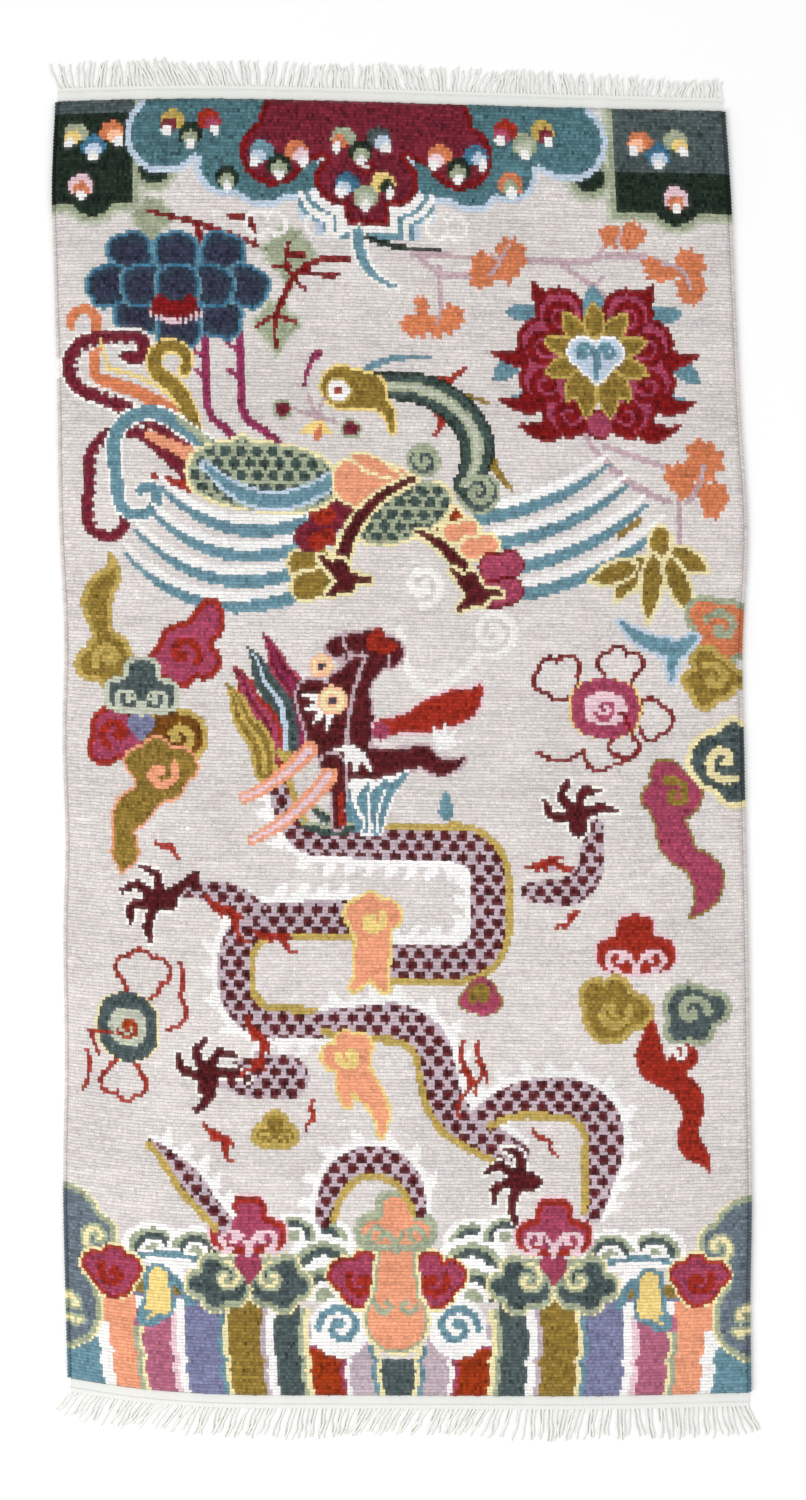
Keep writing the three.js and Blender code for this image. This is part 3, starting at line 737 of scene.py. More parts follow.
def claw(pen, x, y, turn, flip=False):
    """A dragon's foot with four hooked toes."""
    pen = pen.at(x, y, 1, turn, flip)
    toes = [(0, 0, way, ((3.2, 15), (0.6, hook), (1.8, 0)), 1.9, 1.4, 1.3, 1.1, 0.7)
            for way, hook in ((-95, 60), (-45, 60), (5, 70), (60, 30))]
    pen.walks("pale_field -0.3, maroon", *toes, (-1.5, 0, 0, ((2, 0),), 2.4, 2.8))


# The dragon's flames: place, heading, length and width.
FLAMES = ((18.5, 105.5, 45, 9, 2), (25, 110, 25, 7, 1.6), (61, 101, 0, 7, 2), (68, 107, 140, 4, 1.2),
          (24, 121.5, 70, 8, 1.8), (26, 126, 130, 5, 1.3), (52.5, 124.5, 90, 11, 1.2),
          (54.5, 124.5, 90, 8, 0.9), (18, 135.5, 50, 7, 1.7), (61.5, 136, 45, 5, 0.9),
          (32.5, 132.5, 100, 4, 1), (11.5, 98.5, 30, 4, 1.4))


def flames(pen, dye, rows):
    """Small flames, each with a second tongue."""
    for x, y, heading, length, width in rows:
        first = ((length * 0.35, -60), (length * 0.35, 80), (length * 0.3, -70))
        second = ((length * 0.2, 20), (length * 0.2, 60))
        pen.at(x, y, turn=heading).walks(
            dye, (0, 0, 25, first, 0.5, 0.7 * width, 0.5 * width, 0.5),
            (length * 0.35, 0.4, -60, second, 0.4 * width, 0.5 * width, 0.5))


def dragon_body(pen):
    """The dragon's dotted coils, feet and flames."""
    for side, coil in COILS:
        points = course(*coil)
        if side:
            spines(pen, points, -side)
        shape = along(points * (1, 1, 0.5))
        pen.lay(shape, "lilac")
        scales(pen, shape, "maroon", 6.4, 3.2, 0.76, 0.1)
        if side:
            line = beside(points, side, 1.0)[0]
            pen.lay(along(np.column_stack([line, np.full(len(line), 0.5)])), "gold")
    for foot_at in ((12, 106.5, 0, True), (68, 94.5, -90), (18.5, 129.5, -80), (60, 143, 0, True)):
        claw(pen, *foot_at)
    pen.bows("maroon", (18.5, 129, 17, 134, 0.2, 2.4, 0.9), (13, 106, 17, 103, 0, 2, 1.2))
    flames(pen, "red", FLAMES)
    pen.lumps("lilac", (23.5, 109, 0.6), (64.5, 101.5, 0.6), (25, 126.5, 0.5))
    cloud(pen, "yellow -0.45, peach", 40.5, 109, 2.6, 180, 1, (85, ((5, 0), (4, -30)), 4, 4.2, 3, 0.8),
          (100, ((6, 0), (3, 40)), 4, 3, 2.6, 0.8))
    cloud(pen, "yellow -0.45, peach", 37.5, 127, 2.4, 160, -1,
          (70, ((5, -20), (6, 50)), 3.4, 3.4, 2.2, 0.5), (100, ((4, 0), (2, -30)), 3.4, 2.6, 0.8))
    cloud(pen, "olive, pink 0.4", 55, 118, 2.2)


# Locks of the dragon's mane: place, length and dyes from the edge in. White hairs: place, first and last
# heading and length.
MANE = ((31.5, 86, 6, "pink raspberry plum"), (29.5, 87, 5, "slate deep_slate ice"),
        (27.5, 87, 2.5, "red pink raspberry"), (26.5, 89, 2, "gold olive gold"))
HAIRS = ((35.5, 79.5, 100, 190, 4.6), (50, 85.5, -110, -20, 3.4), (39, 86, 60, 180, 3.6),
         (39.5, 90, 20, 160, 4.4))


def dragon_head(pen):
    """The dragon's head with mane, whiskers, beard and tongue."""
    for x, y, long, dyes in MANE:
        for dye, width in zip(dyes.split(), (2.8, 1.8, 0.6)):
            pen.walks(dye, (x, y, 265, ((long, 0), (4, -40), (3, 30), (4, -30)),
                            *(1.25 * width * w for w in (0.9, 1, 0.9, 0.7, 0.1))))
    pen.lay(pen.discs((37, 72.5, 1.8), (40, 72.5, 2.2), (43, 73, 2)), "mauve -0.35, maroon")
    pen.bows("mauve -0.35, maroon", (41.5, 74, 37.5, 80, -0.15, 3, 4.5, 5.5),
             (37.5, 78, 37, 88, 0.05, 5.5, 6.5, 4.5), (36, 72.5, 40.5, 71.5, 0, 2.6),
             (33, 79, 35, 85, 0, 4.6, 5), (38, 87.5, 47.5, 86.5, -0.08, 4.5, 3.6, 2.6),
             (47.5, 86.5, 53, 87, -0.25, 2.6, 2.2, 0.5))
    pen.walks("blush -0.35, red", (42, 83, -5, ((5, -15), (6, 0), (4, -50)), 2, 2.4, 4.6, 4.4, 0.5))
    pen.lay(both(pen.leaf(40.5, 72.5, 3.4, 2, -60), pen.leaf(41, 72.5, 3.4, 2, -10)), "red")
    pen.lumps("pink", (42, 83.5, 1.2))
    pen.bows("mauve", (37, 71, 40, 73.5, -0.3, 0.5), (40, 73.5, 37.5, 85, -0.05, 0.6, 0.5),
             (36.5, 75.5, 37, 73.5, 0, 0.4))
    for x, y, start, stop, long in HAIRS:
        for turn in np.linspace(start, stop, 4):
            pen.lay(pen.leaf(x, y, long, 1.1, turn, 0, 0.3), "white")
    fan(pen, "teal", ((45.5, 89), (37.5, 91.5)), ((41, 96.5), (38.5, 96)), 4, -0.1, 1.7,
        (-0.2, "white", 1.5))
    fan(pen, "deep_slate", ((32, 93), (31, 96)), ((36.5, 96), (37.5, 96.5)), 2, -0.1, 1.2,
        (-0.5, "sage", 1))
    pen.bows("mauve -0.3, maroon", (35.5, 88, 36, 96, 0.05, 3, 1.8, 1.2))
    pen.bows("red", (36.5, 92, 36.5, 95.5, 0, 0.5, 1.2))
    pen.bows("teal", (50.5, 91.5, 50.5, 94, 0, 0.6, 2.2))
    pen.bows("gold", (30, 87.5, 28.5, 86.5, 0, 2, 1))
    for start, end in (((32.5, 86), (23.5, 92.5)), ((35, 89.5), (24.5, 98))):
        for dye, width in (("peach", 2.4), ("blush", 0.9)):
            pen.bows(dye, (*start, *end, 0.06, width, width * 0.6))
    for x, y, size in ((34, 75, 1.6), (35.5, 79.5, 2.0)):
        pen.lumps("apricot, cream 0.5", (x, y, size))
        pen.lumps("apricot", (x, y, 0.9))
        pen.lumps("indigo", (x, y, 0.5))


# The foot's stripes, the same to both sides of the middle: dye, where it begins in centimetres from the
# middle at the foot, and how high it reaches.
STRIPES = (("slate", -1, 166.6), ("cream", 1.9, 165), ("teal", 2.5, 165), ("lilac", 3.1, 162),
           ("white", 6.1, 164), ("pink", 6.7, 165), ("rust", 7.3, 165.4), ("cream", 11.2, 160),
           ("sage", 11.9, 160), ("slate", 12.5, 159), ("white", 15.8, 159), ("lilac", 16.9, 158),
           ("olive", 17.5, 157), ("cream", 21.9, 159), ("teal", 22.5, 159), ("lavender", 23.1, 158.6),
           ("white", 27.7, 159), ("blush", 28.7, 161), ("rose", 29.5, 161), ("cream", 33.1, 163),
           ("sage", 33.6, 163), ("peach", 34.3, 159), ("white", 37.5, 163), ("teal", 39.1, 165.4))

# The foot's middle lies left of the rug's own, so its right side is wider.
MIDDLE, RIGHT_STRETCH = 43.5, 1.068

# Hills of waves: distance from the middle, place along the rug and size. Then their bands from outside in.
HILLS = ((32, 153, 3.6), (26.5, 153, 3.4), (9.5, 151.5, 3.4), (9.5, 155, 4.4), (9.5, 158.5, 4.4),
         (13.5, 150.5, 3))
HILL_BANDS = (("white", 1.2), ("sage", 0.96), ("slate", 0.76), ("white", 0.5), ("sage", 0.3))


def stripes(pen):
    """Upright stripes along the foot, a little bent."""
    away = KNOT_X - MIDDLE
    away = np.where(away < 0, -away, away / RIGHT_STRETCH)
    step = 0.5 * np.exp(-((KNOT_Y - 167) / 0.7) ** 2)
    sway = 0.35 * np.sin((KNOT_Y - 154) / 2.6)
    away = away + step - 0.05 * (171 - KNOT_Y) + sway
    for dye, start, top in STRIPES:
        pen.lay(common(start - away, top - KNOT_Y), dye)


def foot_side(pen, side):
    """Waves, an ornament, curls, a dark corner and cloud heads on one side of the foot."""
    wide = RIGHT_STRETCH if side > 0 else 1

    def at(away, y, size=1.0):
        """A pen that far from the foot's middle, mirrored on the right."""
        return pen.at(MIDDLE + side * wide * away, y, size, flip=side > 0)

    for away, y, size in HILLS:
        for dye, reach in HILL_BANDS:
            pen.lay(common(at(away, y, size).oval(0, 0, reach, reach * 0.9), KNOT_Y - y - 0.6), dye)
    ornament = at(30, 156)
    ornament.bows("white", (-5, -2, 5, -1.5, 0.06, 1.4, 2.4, 2), (0, -1, 3.5, 1.5, 0, 1.4, 2))
    ornament.bows("teal", (-4.5, -2, 4.5, -2, 0.08, 0.7), (-3, -0.5, 2.5, 3.5, 0.2, 0.6, 1.4))
    ornament.bows("teal -0.6, yellow", (-1.5, 0.5, -1.5, 4, 0, 2.6, 3.2), (-1.5, 3.5, -3.5, 6, 0, 2.4, 1))
    ornament.lay(ornament.curl(-3, 5.5, 1.5, 0.8, 0, 1, 0.8), "teal")
    foam = at(7.5, 162.5)
    foam.lay(foam.disc(0, 0, 4), "white")
    foam.lay(foam.curl(0, 0, 2.9, 1.3, 180, 1, 1.1), "teal")
    corner = at(43.5, 155)
    corner.lay(corner.discs((-0.5, -4.5, 5.4), (4, -3.5, 2.9), (-1.5, 6.5, 6.2), (-3, 1, 6.4)),
               "cream, sage 0.4, haze 1.1")
    for dye, width in (("sage", 1.5), ("cream", 0.6)):
        for x, y in ((4, -3), (0.5, 6.5)):
            corner.lay(corner.curl(x, y, 2.2, 0.95, 60, 1, width), dye)
    for away, size in ((37.5, 2.9), (4.5, 3.2)):
        for look in ("cream -0.3, red", "red, pink 0.7"):
            cloud(pen, look, at(away, 157).x, 157, size, 180, side)
    for away, turn in ((15.5, 1), (23.5, -1)):
        scroll = pen.at(at(away, 156.5).x, 156.5, flip=side * turn < 0)
        scroll.lay(scroll.discs((-1, -2, 1.9), (-2.5, 0.5, 2.2), (-0.5, 2.2, 2.2), (2, 1, 2.5),
                                (1.5, -1.5, 2.0)), "cream, sage 0.4, slate 1.0")
        for dye, width in (("sage", 1.4), ("cream", 0.5)):
            scroll.lay(scroll.curl(1, -0.5, 2.0, 0.95, 270, 1, width), dye)
    ruyi(pen, at(19.5, 150).x, 150, 5.0, "red", "pink", "blush", "pink")


def foot_border(pen):
    """The stripes, both sides and the middle of the foot."""
    stripes(pen)
    for side in (-1, 1):
        foot_side(pen, side)
    middle = pen.at(MIDDLE, 150)
    pen.lay(both(middle.bow(0, 2, 0, 12, 0, 4, 5, 6), middle.oval(0, 11.5, 3.8, 4, 0, 1)),
            "cream -0.8, sage -0.4, peach")
    for way in (-1, 1):
        pen.lay(middle.curl(way * 1.4, 9.5, 1.3, 0.8, 90 - way * 90, way, 0.7), "sage")
    ruyi(pen, MIDDLE, 149.5, 5.2, "sage", "peach", "sage")


PATTERN = (head_border, sprigs, twigs, lotus, curled_flower, phoenix_tail, phoenix_wings, phoenix_body,
           phoenix_head, clouds, pearls, foot_border, dragon_body, dragon_head)


def knot_rug():
    """The whole pattern, as a dye number for each knot."""
    pen = Pen(np.zeros(KNOT_X.shape, int))
    for part in PATTERN:
        part(pen)
    return pen.dye


def linear(colour):
    """A colour as shown on screen, from 0 to 255, as the linear values that a shader takes."""
    c = np.asarray(colour, float) / 255
    return np.where(c <= 0.04045, c / 12.92, ((c + 0.055) / 1.055) ** 2.4)


class Value:
    """A socket that can be reckoned with: an expression on it adds its Math nodes."""

    def __init__(self, nodes, socket):
        self.nodes, self.socket = nodes, socket

    def _math(self, operation, *values):
        return self.nodes.node("ShaderNodeMath", {"operation": operation}, dict(enumerate(values)))

    def __add__(self, other):
        return self._math("ADD", self, other)

    def __sub__(self, other):
        return self._math("SUBTRACT", self, other)

    def __rsub__(self, other):
        return self._math("SUBTRACT", other, self)

    def __mul__(self, other):
        return self._math("MULTIPLY", self, other)

    def __truediv__(self, other):
        return self._math("DIVIDE", self, other)

    def __pow__(self, other):
        return self._math("POWER", self, other)

    def __abs__(self):
        return self._math("ABSOLUTE", self)

    __radd__, __rmul__ = __add__, __mul__

    def fraction(self):
        return self._math("FRACT", self)

    def sine(self):
        return self._math("SINE", self)


class Nodes:
    """Adds nodes to a tree, of a material or of a geometry modifier."""

    def __init__(self, tree):
        self.tree = tree

    def node(self, kind, settings=None, inputs=None, output=0):
        """A new node with its settings, and the values or links of its sockets by name or number."""
        made = self.tree.nodes.new(kind)
        for key, value in (settings or {}).items():
            setattr(made, key, value)
        for key, value in (inputs or {}).items():
            socket = made.inputs[key]
            if isinstance(value, Value):
                self.tree.links.new(value.socket, socket)
            else:
                socket.default_value = value
        return Value(self, made.outputs[output])

    def parts(self, vector):
        """The three numbers of a vector."""
        x = self.node("ShaderNodeSeparateXYZ", {}, {0: vector})
        return x, Value(self, x.socket.node.outputs[1]), Value(self, x.socket.node.outputs[2])

    def places(self):
        """Where a point lies, in the piece's own metres."""
        return self.node("ShaderNodeTexCoord", {}, output=3)

    def knots(self):
        """How many columns and rows of knots a point is from the first one."""
        return self.parts(self.node("ShaderNodeUVMap", {"uv_map": "Knots"}))[:2]

    def dye(self):
        """The colour that the mesh carries."""
        return self.node("ShaderNodeAttribute", {"attribute_name": "dye"})

    def plain(self, colour):
        """One colour, as shown on screen."""
        made = self.node("ShaderNodeRGB")
        made.socket.default_value = (*linear(colour), 1)
        return made

    def noise(self, where, scale, detail=2.0, roughness=0.5):
        return self.node("ShaderNodeTexNoise", {}, {
            "Vector": where, "Scale": scale, "Detail": detail, "Roughness": roughness})

    def shaded(self, colour, value):
        """A colour made darker or lighter by a value round 1."""
        settings = {"data_type": "RGBA", "blend_type": "MULTIPLY", "clamp_factor": False}
        mixed = self.node("ShaderNodeMix", settings, {0: 1.0, 6: colour, 7: value})
        return Value(self, mixed.socket.node.outputs[2])


def cloth_material(name, make, roughness=0.95, sheen=0.05):
    """A material of dull fibre. make is given its nodes, and returns its colour, its height and how deep."""
    material = bpy.data.materials.new(name)
    material.use_nodes = True
    nodes = Nodes(material.node_tree)
    shader = material.node_tree.nodes["Principled BSDF"]
    colour, height, depth = make(nodes)
    bump = nodes.node("ShaderNodeBump", {}, {"Strength": 1.0, "Distance": depth, "Height": height})
    nodes.tree.links.new(colour.socket, shader.inputs["Base Color"])
    nodes.tree.links.new(bump.socket, shader.inputs["Normal"])
    shader.inputs["Roughness"].default_value = roughness
    shader.inputs["Specular IOR Level"].default_value = 0.05
    shader.inputs["Sheen Weight"].default_value = sheen
    shader.inputs["Sheen Roughness"].default_value = 0.6
    return material


def pile_look(nodes):
    """Wool in rows of knots. The dye of each knot is an attribute of its face."""
    across, down = nodes.knots()
    where = nodes.places()
    fibre = nodes.noise(where, 900.0, detail=3.0, roughness=0.6)
    tuft = nodes.noise(where, 260.0)
    drift = nodes.noise(where, 45.0)
    patch = nodes.noise(where, 11.0, detail=3.0)
    wander = (tuft - 0.5) * 0.45
    rows = (abs((down + wander).fraction() - 0.5) * 2.0) ** 5.0
    columns = (abs((across + wander).fraction() - 0.5) * 2.0) ** 6.0
    # Darker in the grooves between rows and columns of knots: painted shade, beside the bump that dents them.
    shade = (1.08 - rows * (drift * 0.7) - columns * 0.1 + (fibre - 0.5) * 0.55 + (tuft - 0.5) * 0.34
             + (patch - 0.5) * 0.26)
    height = 1.0 - rows * 0.55 - columns * 0.22 + (fibre - 0.5) * 0.5 + (tuft - 0.5) * 0.5
    return nodes.shaded(nodes.dye(), shade), height, 0.9 * MM


def back_look(nodes):
    """The flat back of the weave: ridges of weft with the knots' wool between them."""
    across, down = nodes.knots()
    tuft = nodes.noise(nodes.places(), 400.0)
    weft = (down * (2 * math.pi)).sine()
    warp = (across * (2 * math.pi)).sine()
    shade = 0.86 + weft * 0.07 + warp * 0.04 + (tuft - 0.5) * 0.2
    return nodes.shaded(nodes.plain(DYES["field"]), shade), weft * 0.5 + warp * 0.3 + tuft, 0.5 * MM


# The cotton of the strands and of the webs as it shows on screen, and the webs' pitches in metres.
STRAND_COTTON, WEB_COTTON = (241, 241, 235), (238, 239, 234)
RIB_PITCH, WARP_PITCH = 1.5 * MM, 3.6 * MM


def yarn_look(nodes):
    """Plied yarn whose dye is an attribute."""
    fibre = nodes.noise(nodes.places(), 1500.0, detail=3.0)
    return nodes.shaded(nodes.dye(), 0.9 + fibre * 0.22), fibre, 0.3 * MM


def cotton_look(nodes):
    """Off-white cotton warp."""
    where = nodes.places()
    fibre = nodes.noise(where, 1300.0, detail=3.0)
    patch = nodes.noise(where, 30.0)
    return nodes.shaded(nodes.plain(STRAND_COTTON), 0.94 + fibre * 0.07 + patch * 0.07), fibre, 0.1 * MM


def web_look(nodes):
    """Plain cotton weave: fine ribs of weft over the warps."""
    where = nodes.places()
    x, y, _ = nodes.parts(where)
    wander = nodes.noise(where, 60.0) * 4.0
    ribs = (y * (2 * math.pi / RIB_PITCH) + wander).sine()
    warps = (x * (2 * math.pi / WARP_PITCH)).sine()
    fibre = nodes.noise(where, 1200.0)
    # The cotton is a little darker between the ribs and between the warps: painted shade, with their bump.
    shade = 0.98 + ribs * 0.015 + warps * 0.012 + (fibre - 0.5) * 0.08
    return nodes.shaded(nodes.plain(WEB_COTTON), shade), ribs * 0.4 + warps * 0.25 + fibre * 0.5, 0.25 * MM


def new_object(name, mesh, *materials):
    """A piece with its mesh and materials, in the scene."""
    made = bpy.data.objects.new(name, mesh)
    bpy.context.scene.collection.objects.link(made)
    mesh.materials.clear()
    for material in materials:
        mesh.materials.append(material)
    return made


def give(mesh, name, kind, domain, values):
    """Stores an attribute on a mesh."""
    attribute = mesh.attributes.new(name, kind, domain)
    key = {"FLOAT": "value", "FLOAT_COLOR": "color", "FLOAT_VECTOR": "vector"}[kind]
    attribute.data.foreach_set(key, np.ascontiguousarray(values, dtype=np.float32).ravel())


def opaque(colours):
    """Colours with a last value of 1."""
    return np.concatenate([colours, np.ones((*colours.shape[:-1], 1))], axis=-1)


def grown(guide, tree, values):
    """What a Geometry Nodes tree grows on a guide mesh, as a plain mesh. values are the tree's inputs."""
    holder = bpy.data.objects.new("guide", guide)
    bpy.context.scene.collection.objects.link(holder)
    modifier = holder.modifiers.new("growth", "NODES")
    modifier.node_group = tree
    for item in tree.interface.items_tree:
        if item.in_out == "INPUT" and item.name in values:
            modifier[item.identifier] = values[item.name]
    graph = bpy.context.evaluated_depsgraph_get()
    mesh = bpy.data.meshes.new_from_object(holder.evaluated_get(graph), preserve_all_data_layers=True,
                                           depsgraph=graph)
    holder.modifiers.remove(modifier)
    bpy.data.objects.remove(holder)
    return mesh


def geometry_tree(name, inputs):
    """A Geometry Nodes tree with its named inputs, its nodes, and what comes in by name."""
    tree = bpy.data.node_groups.new(name, "GeometryNodeTree")
    tree.interface.new_socket("Geometry", in_out="INPUT", socket_type="NodeSocketGeometry")
    for label, kind in inputs:
        tree.interface.new_socket(label, in_out="INPUT", socket_type=kind)
    tree.interface.new_socket("Geometry", in_out="OUTPUT", socket_type="NodeSocketGeometry")
    nodes = Nodes(tree)
    start = tree.nodes.new("NodeGroupInput")
    given = {socket.name: Value(nodes, socket) for socket in start.outputs if socket.name}
    return tree, nodes, given


def end_tree(nodes, geometry, material):
    """Ends a tree as the export needs it: real meshes with their material."""
    real = nodes.node("GeometryNodeRealizeInstances", {}, {0: geometry})
    painted = nodes.node("GeometryNodeSetMaterial", {}, {"Geometry": real, "Material": material})
    end = nodes.tree.nodes.new("NodeGroupOutput")
    nodes.tree.links.new(painted.socket, end.inputs[0])


def ring_tree():
    """Yarn wound round a side cord: one loop at each point of the guide, over a solid core."""
    tree, nodes, given = geometry_tree("binding", [
        ("Cord Width", "NodeSocketFloat"), ("Cord Height", "NodeSocketFloat"),
        ("Yarn", "NodeSocketFloat"), ("Slant", "NodeSocketFloat"), ("Seed", "NodeSocketInt"),
        ("Wool", "NodeSocketMaterial")])
    add = nodes.node
    half_wide = (given["Cord Width"] - given["Yarn"]) * 0.5
    half_high = (given["Cord Height"] - given["Yarn"]) * 0.5
    circle = add("GeometryNodeCurvePrimitiveCircle", {}, {"Resolution": 12, "Radius": 1.0})
    size = add("ShaderNodeCombineXYZ", {}, {0: half_wide, 1: half_high, 2: 1.0})
    oval = add("GeometryNodeTransform", {}, {"Geometry": circle, "Scale": size})
    upright = add("GeometryNodeTransform", {}, {"Geometry": oval, "Rotation": (math.pi / 2, 0, 0)})
    yarn = add("GeometryNodeCurvePrimitiveCircle", {}, {"Resolution": 5, "Radius": given["Yarn"] * 0.5})
    loop = add("GeometryNodeCurveToMesh", {}, {"Curve": upright, "Profile Curve": yarn})
    points = add("GeometryNodeMeshToPoints", {}, {"Mesh": given["Geometry"]})
    lean = add("FunctionNodeRandomValue", {"data_type": "FLOAT"},
               {2: 0.7, 3: 1.3, "Seed": given["Seed"]}, output=1)
    turn = add("ShaderNodeCombineXYZ", {}, {2: lean * given["Slant"]})
    swell = add("FunctionNodeRandomValue", {"data_type": "FLOAT"},
                {2: 0.95, 3: 1.06, "Seed": given["Seed"] + 1.0}, output=1)
    wound = add("GeometryNodeInstanceOnPoints", {}, {
        "Points": points, "Instance": loop, "Rotation": turn, "Scale": swell})
    line = add("GeometryNodeMeshToCurve", {}, {0: given["Geometry"]})
    round_core = add("GeometryNodeCurvePrimitiveCircle", {}, {"Resolution": 10, "Radius": half_high})
    core = add("GeometryNodeCurveToMesh", {}, {
        "Curve": line, "Profile Curve": round_core, "Fill Caps": True})
    joined = nodes.tree.nodes.new("GeometryNodeJoinGeometry")
    nodes.tree.links.new(wound.socket, joined.inputs[0])
    nodes.tree.links.new(core.socket, joined.inputs[0])
    end_tree(nodes, Value(nodes, joined.outputs[0]), given["Wool"])
    return tree


def strand_tree():
    """Twisted cotton strands: one at each point of the guide, with that point's slant and length."""
    tree, nodes, given = geometry_tree("fringe", [
        ("Thickness", "NodeSocketFloat"), ("Twist", "NodeSocketFloat"), ("Waviness", "NodeSocketFloat"),
        ("Lift", "NodeSocketFloat"), ("Seed", "NodeSocketInt"), ("Cotton", "NodeSocketMaterial")])
    add = nodes.node

    def named(name):
        """A number that the guide's points or the strands carry."""
        return add("GeometryNodeInputNamedAttribute", {"data_type": "FLOAT"}, {"Name": name})

    line = add("GeometryNodeCurvePrimitiveLine", {}, {"Start": (0, 0, 0), "End": (0, 1, 0)})
    fine = add("GeometryNodeResampleCurve", {}, {"Curve": line, "Count": 13})
    part = add("GeometryNodeSplineParameter")
    marked = add("GeometryNodeStoreNamedAttribute", {"data_type": "FLOAT", "domain": "POINT"},
               {"Geometry": fine, "Name": "along", "Value": part})
    wound = add("GeometryNodeSetCurveTilt", {}, {"Curve": marked, "Tilt": part * given["Twist"]})
    thin = add("GeometryNodeSetCurveRadius", {}, {"Curve": wound, "Radius": 1.0 - part * part * 0.45})
    ply = add("GeometryNodeCurvePrimitiveCircle", {}, {"Resolution": 6, "Radius": given["Thickness"] * 0.5})
    flat = add("GeometryNodeTransform", {}, {"Geometry": ply, "Scale": (1.0, 0.75, 1.0)})
    strand = add("GeometryNodeCurveToMesh", {}, {"Curve": thin, "Profile Curve": flat, "Fill Caps": True})
    points = add("GeometryNodeMeshToPoints", {}, {"Mesh": given["Geometry"]})
    turn = add("ShaderNodeCombineXYZ", {}, {2: named("slant")})
    size = add("ShaderNodeCombineXYZ", {}, {0: 1.0, 1: named("length"), 2: 1.0})
    laid = add("GeometryNodeInstanceOnPoints", {}, {
        "Points": points, "Instance": strand, "Rotation": turn, "Scale": size})
    real = add("GeometryNodeRealizeInstances", {}, {0: laid})
    share, salt = named("along"), named("salt")
    sway = add("ShaderNodeTexNoise", {"noise_dimensions": "1D"}, {
        "W": salt * 37.0 + share * 1.6 + given["Seed"], "Scale": 1.0, "Detail": 1.0})
    hop = add("ShaderNodeTexNoise", {"noise_dimensions": "1D"}, {
        "W": salt * 91.0 + share * 1.1, "Scale": 1.0, "Detail": 0.0})
    offset = add("ShaderNodeCombineXYZ", {}, {
        0: (sway - 0.5) * share * given["Waviness"], 2: hop * (share * (1.15 - share)) * given["Lift"]})
    swayed = add("GeometryNodeSetPosition", {}, {"Geometry": real, "Offset": offset})
    end_tree(nodes, swayed, given["Cotton"])
    return tree


# Waves of shade along the rug in each dye, knots in one streak, and how much of its neighbours a knot takes.
BATCH_WAVES = (3, 7, 17, 41)
STREAK = 8
BLEND = 0.14


def dyed(dye):
    """The wool's colour at each knot: its dye, uneven from knot to knot and from one batch to the next.
    Dark wool is the more uneven."""
    rng = np.random.default_rng(SEED)
    colours = linear(np.array(list(DYES.values())))[dye]
    rows = np.arange(ROWS)
    batch = np.zeros((len(NAMES), ROWS))
    for waves in BATCH_WAVES:
        phase = rng.uniform(0, 2 * math.pi, (len(NAMES), 1))
        batch += np.sin(2 * math.pi * waves * rows / ROWS + phase) / (1 + waves / 12)
    streak = rng.normal(0, 1, (ROWS, COLUMNS + STREAK))
    streak = sum(streak[:, k:k + COLUMNS] for k in range(STREAK)) / STREAK ** 0.5
    depth = 1 - colours.mean(axis=-1) ** 0.5
    # Every dye grows a little lighter from the head towards the foot, and wavers with its batches.
    shade = 0.98 + 0.04 * rows[:, None] / ROWS + 0.03 * batch[dye, rows[:, None]]
    shade = shade + 0.028 * streak * (1 + 2.5 * depth)
    shade = shade + rng.normal(0, 1, dye.shape) * (0.04 + 0.36 * depth ** 2)
    tint = rng.normal(0, 0.012, colours.shape)
    neighbours = sum(np.roll(colours, shift, axis) for shift in (1, -1) for axis in (0, 1)) / 4
    colours = colours * (1 - BLEND) + neighbours * BLEND
    return colours * (shade[..., None] + tint).clip(0.4, 2)


# The shares of its bake square that the pile's top takes from above and its back from below, where the wall
# between them starts and how high each knot of it is, and how many knots high the wall counts.
TOP_SHARE, BACK_SHARE = 0.94, 0.035
WALL_START, WALL_STEP, WALL_KNOTS = 0.042, 0.008, 1.4


def pile_top(dye, sizes):
    """The corners of the knots, sheared unevenly and clipped where two dyes meet."""
    rng = np.random.default_rng(SEED + 1)
    u, v = np.meshgrid(np.arange(COLUMNS + 1) / COLUMNS, 1 - np.arange(ROWS + 1) / ROWS)
    x, y = in_frame(u, v, inset=SIDE_WIDE + GAP)
    z = pile_height(u, v) * MM
    inner = (slice(1, -1), slice(1, -1))
    for values in (x, y):
        values[inner] += rng.normal(0, 0.35, z[inner].shape) * MM
    for row in (0, -1):
        y[row] += rng.normal(0, 0.5, COLUMNS + 1).clip(-0.9, 0.9) * MM
    edge = ((dye[1:, 1:] != dye[:-1, :-1]) | (dye[1:, :-1] != dye[:-1, 1:])
            | (dye[1:, 1:] != dye[1:, :-1]) | (dye[:-1, 1:] != dye[:-1, :-1]))
    z[inner] -= edge * sizes.carving
    z[inner] += rng.normal(0, 1, z[inner].shape) * sizes.unevenness
    return np.column_stack([x.ravel(), y.ravel(), z.ravel()])


